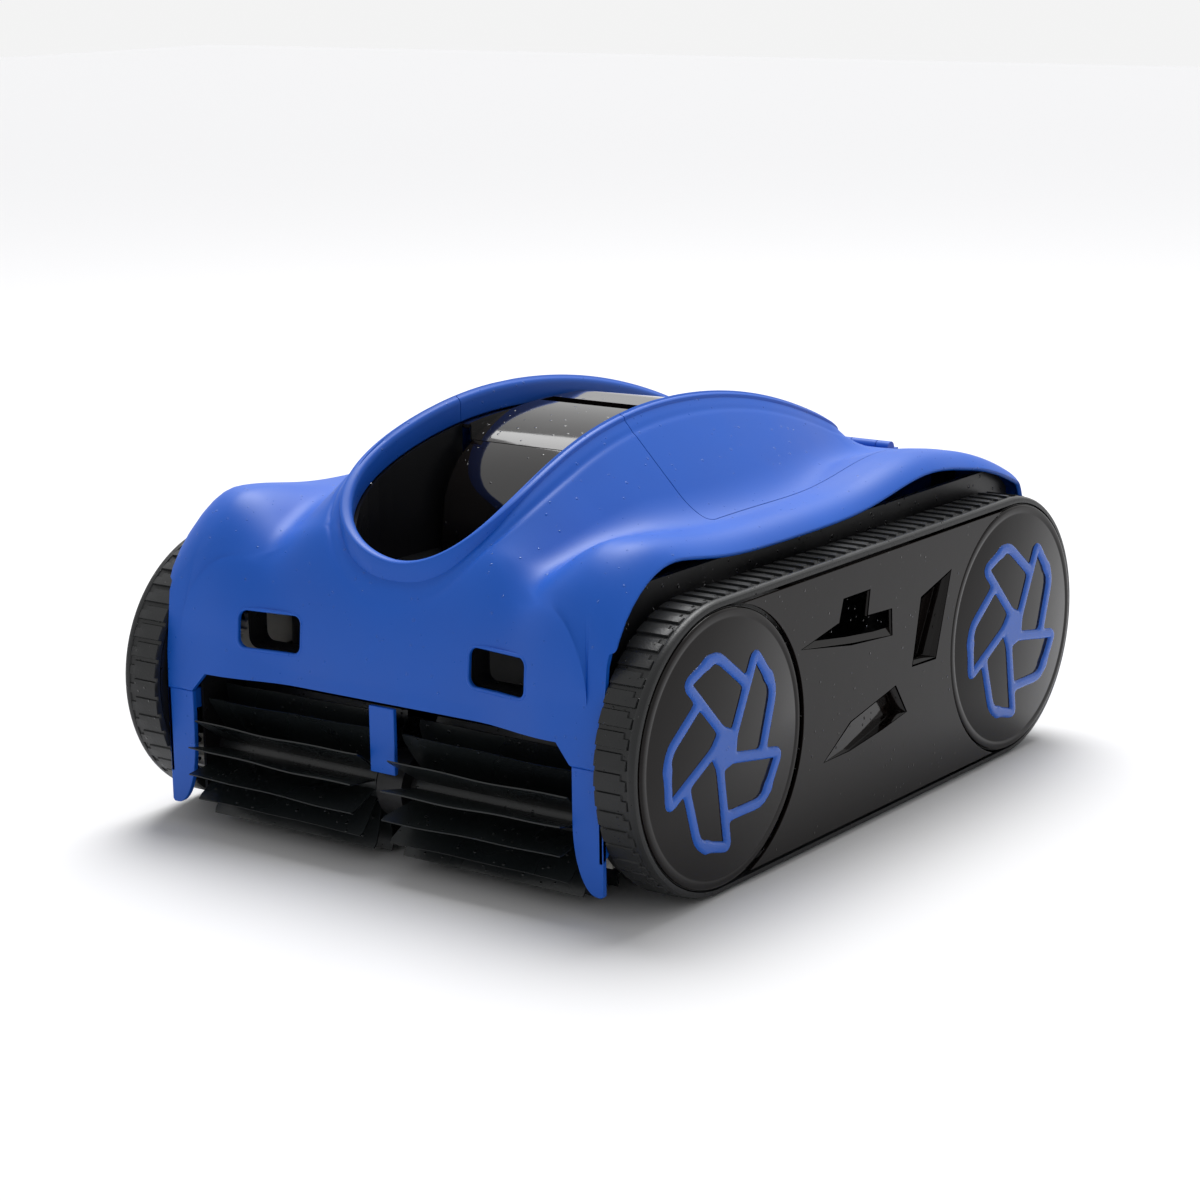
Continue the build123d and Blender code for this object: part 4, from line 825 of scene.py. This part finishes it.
# ---------------------------------------------------------------- side plates
# Polished black ABS panels, each one flat moulding screwed on from inside, with scoops sunk for the
# water to run through. Their ends are cut to arcs round the hub discs.
plate_inner, plate_outer, plate_gap, plate_low, plate_high = 197.4, 199.4, 84.6, 8.0, 171.0


def wedge(name, outline, floor, shift=0.0):
    """Pocket between an outline in the plate's face and a floor of given depths; shift grows its walls."""
    outline, floor = np.asarray(outline, float), np.asarray(floor, float)
    centre = outline.mean(axis=0)
    grown = centre + (outline - centre) * (1 + shift / np.linalg.norm(outline - centre, axis=1)[:, None])
    n = len(outline)
    top = np.column_stack([np.full(n, plate_outer + (0.0 if shift else 1.0)), grown])
    low = np.column_stack([plate_outer - floor - shift, grown])
    faces = ring_faces(2, n, False).tolist() + [list(range(n)), list(range(n, 2 * n))]
    return make_piece(name, np.concatenate([top, low]), faces)


def plate_outline():
    """Panel outline: a rectangle whose ends are cut to arcs round the two hub discs."""
    low, high = (math.asin((z - wheel_z) / plate_gap) for z in (plate_low, plate_high))
    a = np.linspace(low, high, 50)
    rear = pairs(wheel_y - plate_gap * np.cos(a), wheel_z + plate_gap * np.sin(a))
    return np.concatenate([rear, (rear * [-1, 1])[::-1]])


def mirror_piece(piece, name):
    """Copy of a right-hand piece for the left-hand side, its faces turned outwards again."""
    mesh = piece.data.copy()
    mesh.transform(Matrix.Scale(-1, 4, (1, 0, 0)))
    mesh.flip_normals()
    return add(name, mesh)


# Scoops: corners (Y, Z) in the face of the panel, and the depth of the floor at each.
scoops = [
    ([(-91, 130), (-34, 122), (13, 117), (12, 134), (-49, 137)], [0.2, 0.2, 0.2, 6.0, 6.0]),
    ([(-49, 135), (-17, 135), (-14, 151), (-43, 151)], [14.0, 14.0, 14.0, 12.0]),
    ([(50, 133), (40, 92), (69, 91), (87, 144)], [14.0, 14.0, 14.0, 9.0]),
    ([(-65, 54), (-34.5, 54.5), (1.5, 58.6), (32, 63), (18, 82.6), (-34, 72)],
     [0.2, 1.2, 5.0, 9.0, 9.0, 1.0]),
]
plate = prism("plate", plate_outline(), 0, plate_inner, plate_outer)
combine(plate, gather("pans", [wedge("pan", outline, floor, 1.6) for outline, floor in scoops]), "UNION")
for outline, floor in scoops:
    combine(plate, wedge("scoop", outline, floor), "DIFFERENCE", 25.0)
plate.name = "side_panel_right"
for piece, side in ((plate, "right"), (mirror_piece(plate, "side_panel_left"), "left")):
    soften(piece, 0.4)
    paint(piece, gloss_black)
    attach(piece, "chassis")
    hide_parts(f"side_plate_{side}")

# ---------------------------------------------------------------- track belts
# Moulded black rubber loops: cross ribs with a notched outer end, and a smooth round shoulder
# towards the hub discs. A guide ridge inside runs in the wheels' grooves.
wheelbase = 2 * wheel_y
rib_count, rib_share, notch_share, rib_height, rib_lean, carcass = 104, 0.8, 0.52, 1.6, 0.7, 3.6
belt_outer_x, guide_width, guide_height = 197.0, 4.0, 2.5
bend = math.pi * track_radius
loop_length = 2 * (wheelbase + bend)


def belt_place(s, r):
    """Y and Z at distance s along a stadium loop, r from its wheel centres: straight, arc, straight, arc."""
    s = np.mod(s, loop_length)
    rear = np.pi / 2 - (s - wheelbase) / track_radius
    front = -np.pi / 2 - (s - 2 * wheelbase - bend) / track_radius
    stretch = [s < wheelbase, s < wheelbase + bend, s < 2 * wheelbase + bend]
    y = np.select(stretch, [-wheel_y + s, wheel_y + r * np.cos(rear), wheel_y - (s - wheelbase - bend)],
                  -wheel_y + r * np.cos(front))
    z = np.select(stretch, [r, r * np.sin(rear), -r], r * np.sin(front))
    return y, wheel_z + z


def belt_piece(name):
    """Right belt: a cross-section loop carried round the stadium, its tread height set by a rib wave.

    Across the tread the rib's share of the pitch falls at its notched end."""
    low, inside = track_radius - rib_height, track_radius - rib_height - carcass
    pitch = loop_length / rib_count
    phase = np.array([0.0, 0.03, 0.30, 0.50, 0.54, 0.77, 0.82, 0.91])
    s = ((np.arange(rib_count)[:, None] + phase[None]) * pitch).ravel()
    middle = (belt_inner_x + belt_outer_x) / 2
    tread_x = np.append(belt_inner_x + 0.8, belt_outer_x - np.array([26.0, 17.0, 9.4, 8.8, 5.8]))
    share = np.array([rib_share] * 4 + [notch_share] * 2)
    t = np.tile(phase, rib_count)[:, None]
    raised = (t > 0.02) & (t < share[None] - 0.01)
    lean = rib_lean * np.clip(t / share[None], 0, 1)
    tread_r = np.where(raised, track_radius - lean, low)
    shoulder_x = belt_outer_x - np.array([5.2, 4.7, 3.0, 1.4, 0.4, 0.0, 0.0, 2.0])
    shoulder_r = np.concatenate([[low], track_radius - np.array([0.9, 0.6, 1.0, 1.8, 3.1]),
                                 [inside + 0.6, inside]])
    foot, tip = guide_width / 2, guide_width / 2 - 0.4
    back_x = np.array([middle + foot, middle + tip, middle - tip, middle - foot, belt_inner_x + 1,
                       belt_inner_x])
    back_r = np.array([inside, inside - guide_height, inside - guide_height, inside, inside, inside + 0.8])
    n = len(s)
    x = np.concatenate([tread_x, shoulder_x, back_x, [belt_inner_x]])
    r = np.concatenate([tread_r, np.tile(shoulder_r, (n, 1)), np.tile(back_r, (n, 1)),
                        np.full((n, 1), low - 0.8)], axis=1)
    y, z = belt_place(np.repeat(s[:, None], len(x), axis=1), r)
    points = np.stack([np.tile(x, (n, 1)), y, z], axis=2)
    return make_piece(name, points, ring_faces(n, len(x), True), 25.0)


rubber = finish_material("wet_rubber", (0.007, 0.0075, 0.008), (0.015, 0.016, 0.017), 0.22, 0.5,
                         (700.0, 0.00012, 0.0004), (380.0, 0.16, 0.0006), specular=0.32)
belt = belt_piece("belt_right")
for piece, side in ((belt, "right"), (mirror_piece(belt, "belt_left"), "left")):
    paint(piece, rubber)
    smooth(piece, 25.0)
    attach(piece, "chassis")
    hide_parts(f"track_belt_{side}")

# ---------------------------------------------------------------- hub discs and pinwheels
# Each wheel is closed by a polished black disc with a rolled rim. On it stands a blue pinwheel of
# five bent blades, one moulding with rounded ribs and filleted joints.
cap_radius, cap_inner, cap_face, pinwheel_rise, rib_half = 82.6, 196.4, 198.4, 1.6, 3.15


def lathe(name, profile, y, z, count):
    """Closed solid of a profile of (x, radius) turned about an axis along X through y and z."""
    x, radius = np.asarray(profile, float).T
    a = full_turn(count)[:, None]
    points = np.stack([np.tile(x, (count, 1)), y + radius * np.cos(a), z + radius * np.sin(a)], axis=2)
    return make_piece(name, points, ring_faces(count, len(profile), True), 30.0)


def segment_distance(u, v, a, b):
    """Distance from points to the segment a-b."""
    du, dv = b[0] - a[0], b[1] - a[1]
    share = np.clip(((u - a[0]) * du + (v - a[1]) * dv) / (du * du + dv * dv), 0, 1)
    return np.hypot(u - a[0] - share * du, v - a[1] - share * dv)


def blade_line(turn):
    """Points of one blade's centre line: hub end, tip, outer corner and joint, its corners rounded.

    Corners are given as (radius, angle, cut); each is a quadratic curve that starts and ends its own
    cut before and after the corner."""
    polar = [(6.0, -85.0, 0.0), (60.0, 0.0, 4.5), (58.6, -30.6, 9.0), (41.7, -69.7, 0.0)]
    corners = [np.array([r * math.cos(math.radians(a + turn)), r * math.sin(math.radians(a + turn))])
               for r, a, _ in polar]
    line = [corners[0]]
    for k in (1, 2):
        before = corners[k - 1] - corners[k]
        after = corners[k + 1] - corners[k]
        begin = corners[k] + before * polar[k][2] / np.linalg.norm(before)
        end = corners[k] + after * polar[k][2] / np.linalg.norm(after)
        for f in np.linspace(0, 1, 5):
            line.append((1 - f) ** 2 * begin + 2 * f * (1 - f) * corners[k] + f * f * end)
    return line + [corners[3]]


def pinwheel_piece(name, y):
    """Relief whose height is a superellipse of the distance to the blades' centre lines.

    The distances d of the blades are joined by a soft minimum, -f ln(sum exp(-d / f)), which fillets
    their joints; the relief is cut off under the disc's face and closed by a flat back."""
    reach, step, hub_radius, f, foot, blade_turn = 64.0, 0.66, 8.8, 1.3, 0.15, 129.0
    line = np.arange(-reach, reach + step, step)
    u, v = np.meshgrid(line, line, indexing="ij")
    total = np.exp(-np.clip(np.hypot(u, v) - hub_radius, 0, 40) / f)
    for k in range(5):
        line_points = blade_line(blade_turn - 72.0 * k)
        legs = [segment_distance(u, v, a, b) for a, b in zip(line_points, line_points[1:])]
        for leg in (np.minimum.reduce(legs[:6]), np.minimum.reduce(legs[6:])):
            total = total + np.exp(-leg / f)
    gap = np.clip(-f * np.log(np.maximum(total, 1e-12)), 0, 40)
    crown = np.clip(1 - (gap / rib_half) ** 3, 0, 1) ** (1 / 3)
    height = np.where(gap < rib_half, foot + (pinwheel_rise - foot) * crown, foot - 1.2 * (gap - rib_half))
    height = np.maximum(height, -0.5)
    cell = np.stack([gap[:-1, :-1], gap[1:, :-1], gap[1:, 1:], gap[:-1, 1:]]).min(axis=0) < rib_half + 0.2
    index = np.arange(u.size).reshape(u.shape)
    quad = np.stack([index[:-1, :-1], index[1:, :-1], index[1:, 1:], index[:-1, 1:]], axis=2)[cell]
    edges = np.concatenate([quad[:, [k, (k + 1) % 4]] for k in range(4)])
    key = np.sort(edges, axis=1)
    _, first, times = np.unique(key, axis=0, return_index=True, return_counts=True)
    rim = edges[first[times == 1]]
    walls = np.stack([rim[:, 1], rim[:, 0], rim[:, 0] + u.size, rim[:, 1] + u.size], axis=1)
    faces = np.concatenate([quad, quad[:, ::-1] + u.size, walls])
    top = np.stack([cap_face + height, y + u, wheel_z + v], axis=2).reshape(-1, 3)
    back_face = top * [0, 1, 1] + [cap_face - 1.0, 0, 0]
    used, faces = np.unique(faces, return_inverse=True)
    return make_piece(name, np.concatenate([top, back_face])[used], faces.reshape(-1, 4), 50.0)


pinwheel_blue = finish_material("pinwheel_blue_abs", (0.0015, 0.088, 0.48), (0.0025, 0.108, 0.56), 0.16, 0.26,
                                (1200.0, 0.00002, 0.0001), (500.0, 0.06, 0.0003), coat=0.2,
                                specular=0.3)
# Disc: a flat face, a shallow groove and a rolled rim, as (x, radius).
cap_profile = [(cap_inner, 0.01), (cap_inner, cap_radius), (197.2, cap_radius), (197.85, cap_radius - 0.35),
               (198.25, cap_radius - 0.9), (cap_face, cap_radius - 1.8), (cap_face, cap_radius - 4.5),
               (198.1, cap_radius - 5.2), (198.1, cap_radius - 6.0), (cap_face, cap_radius - 6.8),
               (cap_face, 0.01)]
for end, y in (("front", -wheel_y), ("rear", wheel_y)):
    disc = lathe(f"{end}_disc_right", cap_profile, y, wheel_z, 120)
    pinwheel = pinwheel_piece(f"{end}_blades_right", y)
    for side in ("right", "left"):
        if side == "left":
            disc = mirror_piece(disc, f"{end}_disc_left")
            pinwheel = mirror_piece(pinwheel, f"{end}_blades_left")
            smooth(disc, 30.0)
            smooth(pinwheel, 50.0)
        paint(disc, gloss_black)
        paint(pinwheel, pinwheel_blue)
        for piece, node, colour in ((disc, "hub_cap", "gloss_black"), (pinwheel, "pinwheel", "shell_blue")):
            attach(piece, f"{end}_wheel_{side}")
            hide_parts(f"{end}_{node}_{side}")

# ---------------------------------------------------------------- brushes
# Extruded black PVC fins on a sleeve, soft enough to wave a little, turning on a fixed steel rod. A
# gear on the front wheel drives each brush, and their two tooth counts set the distance of the axles.
brush_z, brush_radius, brush_root = 45.0, 44.0, 13.0
fin_count, fin_thickness, fin_start, fin_end = 15, 1.5, 10.6, 145.0
gear_module, wheel_teeth, brush_teeth = 2.0, 40, 22
gear_distance = gear_module * (wheel_teeth + brush_teeth) / 2
brush_y = -wheel_y - math.sqrt(gear_distance**2 - (wheel_z - brush_z) ** 2)


def fins_piece(name):
    """Fifteen fins: grids over X and radius, each bent sideways by h^2 times a short and a long wave in X.

    h is the share of the height; the thickness thins to 55 percent at the tip."""
    h = np.linspace(0, 1, 9)
    f = np.linspace(0, 1, 49)
    notch = 7 * (1 - h) ** 1.3 + 1.2 * np.clip((h - 0.9) / 0.1, 0, 1) ** 2
    x = (fin_start + notch)[None] + (fin_end - fin_start - 1.4 * notch)[None] * f[:, None]
    r = np.tile(brush_root + 0.5 + (brush_radius - 0.6 - brush_root - 0.5) * h, (len(f), 1))
    everything, faces = [], []
    for k in range(fin_count):
        turn = 2 * np.pi * k / fin_count
        wave = 0.35 * h[None] ** 2 * np.sin(x / 11.0 + 2.1 * k) + 1.1 * h[None] ** 2 * np.sin(x / 43.0 + k)
        half = fin_thickness / 2 * (1 - 0.45 * h[None]) * np.ones_like(x)
        sides = []
        for sign in (1, -1):
            across = wave + sign * half
            y = r * math.cos(turn) - across * math.sin(turn)
            z = r * math.sin(turn) + across * math.cos(turn)
            sides.append(np.stack([x, brush_y + y, brush_z + z], axis=2))
        ring = np.concatenate([sides[0], sides[1][:, ::-1]], axis=1)
        count = ring.shape[1]
        start = k * ring.shape[0] * count
        faces += (ring_faces(len(ring), count, False) + start).tolist()
        last = start + (len(ring) - 1) * count
        faces += [list(range(start, start + count)), list(range(last, last + count))]
        everything.append(ring.reshape(-1, 3))
    return make_piece(name, np.concatenate(everything), faces, 40.0)


soft_pvc = finish_material("soft_black_pvc", (0.006, 0.008, 0.009), (0.014, 0.017, 0.018), 0.2, 0.42,
                           (500.0, 0.00008, 0.0006), (300.0, 0.2, 0.0006), specular=0.35)
sleeve_start, sleeve_end, sleeve_wall = 15.6, 142.0, 1.5
sleeve_profile = rectangle(sleeve_start, sleeve_end, brush_root, brush_root + sleeve_wall)
fins = gather("brush_fins_wavy_right",
              [fins_piece("fins"), lathe("sleeve", sleeve_profile, brush_y, brush_z, 60)], 40.0)
for piece, side in ((fins, "right"), (mirror_piece(fins, "brush_fins_wavy_left"), "left")):
    smooth(piece, 40.0)
    paint(piece, soft_pvc)
    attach(piece, f"brush_{side}")
    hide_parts(f"brush_fins_{side}")

# ---------------------------------------------------------------- tray, track frames and wheels
# Black injection-moulded ABS: the tub that carries everything, the inner track frames on its sides,
# the spoked wheels, the brush cores, and the small rear and under parts.
for name in ("base_tray", "track_frame_right", "track_frame_left", "brush_core_right", "brush_core_left",
             "front_wheel_right", "front_wheel_left", "rear_wheel_right", "rear_wheel_left",
             "outlet_grille", "inlet_flap", "button_base"):
    paint(frame["nodes"][name], matte_black)

# ---------------------------------------------------------------- metal parts
# Turned and ground stainless steel: axles, brush rod, hinge pins and screws, pressed or screwed in,
# with fine turning lines.
steel, tree, shader = new_material("ground_steel")
place = put(tree, "ShaderNodeTexCoord")
stretch = put(tree, "ShaderNodeMapping", Vector=place.outputs["Object"], Scale=(2600.0, 60.0, 60.0))
lines = put(tree, "ShaderNodeTexNoise", Vector=stretch.outputs["Vector"], Scale=1.0, Detail=2.0)
worn = put(tree, "ShaderNodeMapRange", Value=lines.outputs["Fac"], To_Min=0.22, To_Max=0.42)
groove = put(tree, "ShaderNodeBump", Height=lines.outputs["Fac"], Distance=0.00001)
colour = two_tones(tree, lines.outputs["Fac"], (0.46, 0.46, 0.47), (0.62, 0.62, 0.64))
tree.links.new(colour, shader.inputs["Base Color"])
tree.links.new(worn.outputs[0], shader.inputs["Roughness"])
tree.links.new(groove.outputs["Normal"], shader.inputs["Normal"])
shader.inputs["Metallic"].default_value = 1.0

# ---------------------------------------------------------------- other inner parts
# Natural acetal gears and bushes, grey motor cases, the wrapped battery, the grey filter basket with
# its pale mesh, soft seals and the clear status lens.
acetal = finish_material("natural_acetal", (0.62, 0.60, 0.54), (0.72, 0.70, 0.64), 0.3, 0.42,
                         (900.0, 0.00003, 0.0001), (300.0, 0.02, 0.0002))
housing = finish_material("grey_case_abs", (0.10, 0.105, 0.11), (0.15, 0.155, 0.16), 0.35, 0.5,
                          (900.0, 0.00005, 0.0002), (300.0, 0.02, 0.0002))
wrap = finish_material("battery_wrap", (0.02, 0.03, 0.05), (0.035, 0.045, 0.07), 0.25, 0.4,
                       (700.0, 0.00002, 0.0006), (300.0, 0.02, 0.0002))
basket = finish_material("grey_polypropylene", (0.19, 0.205, 0.22), (0.25, 0.265, 0.285), 0.38, 0.52,
                         (800.0, 0.00005, 0.0003), (280.0, 0.05, 0.0003))
seal = finish_material("soft_seal", (0.012, 0.012, 0.014), (0.022, 0.022, 0.025), 0.5, 0.65,
                       (700.0, 0.00008, 0.0002), (300.0, 0.05, 0.0003))

# Filter mesh: threads both ways, as the greatest of three sine waves.
mesh_cloth, tree, shader = new_material("nylon_mesh")
place = put(tree, "ShaderNodeTexCoord")
apart = put(tree, "ShaderNodeSeparateXYZ", Vector=place.outputs["Object"])
threads = [maths(tree, "SINE", maths(tree, "MULTIPLY", apart.outputs[axis_name], 7800.0))
           for axis_name in ("X", "Y", "Z")]
woven = maths(tree, "MAXIMUM", maths(tree, "MAXIMUM", threads[0], threads[1]), threads[2])
share = put(tree, "ShaderNodeMapRange", Value=woven, From_Min=0.2, From_Max=0.9)
weave = put(tree, "ShaderNodeBump", Height=share.outputs[0], Distance=0.0001)
colour = two_tones(tree, share.outputs[0], (0.03, 0.032, 0.035), (0.42, 0.44, 0.47))
tree.links.new(colour, shader.inputs["Base Color"])
tree.links.new(weave.outputs["Normal"], shader.inputs["Normal"])
shader.inputs["Roughness"].default_value = 0.6

lens, tree, shader = new_material("clear_lens")
place = put(tree, "ShaderNodeTexCoord")
haze = put(tree, "ShaderNodeTexNoise", Vector=place.outputs["Object"], Scale=400.0)
colour = two_tones(tree, haze.outputs["Fac"], (0.50, 0.72, 0.84), (0.60, 0.80, 0.90))
tree.links.new(colour, shader.inputs["Base Color"])
shader.inputs["Roughness"].default_value = 0.08
shader.inputs["Transmission Weight"].default_value = 0.6

by_slot = {"steel": steel, "acetal": acetal, "housing_grey": housing, "battery_wrap": wrap,
           "basket_grey": basket, "screen_mesh": mesh_cloth, "lens_clear": lens, "seal_rubber": seal,
           "matte_black": matte_black, "gloss_black": gloss_black}
for part in frame["record"]["subparts"]:
    material = by_slot.get(part["material_slot"])
    if material is not None:
        paint(frame["nodes"][part["node"]], material)
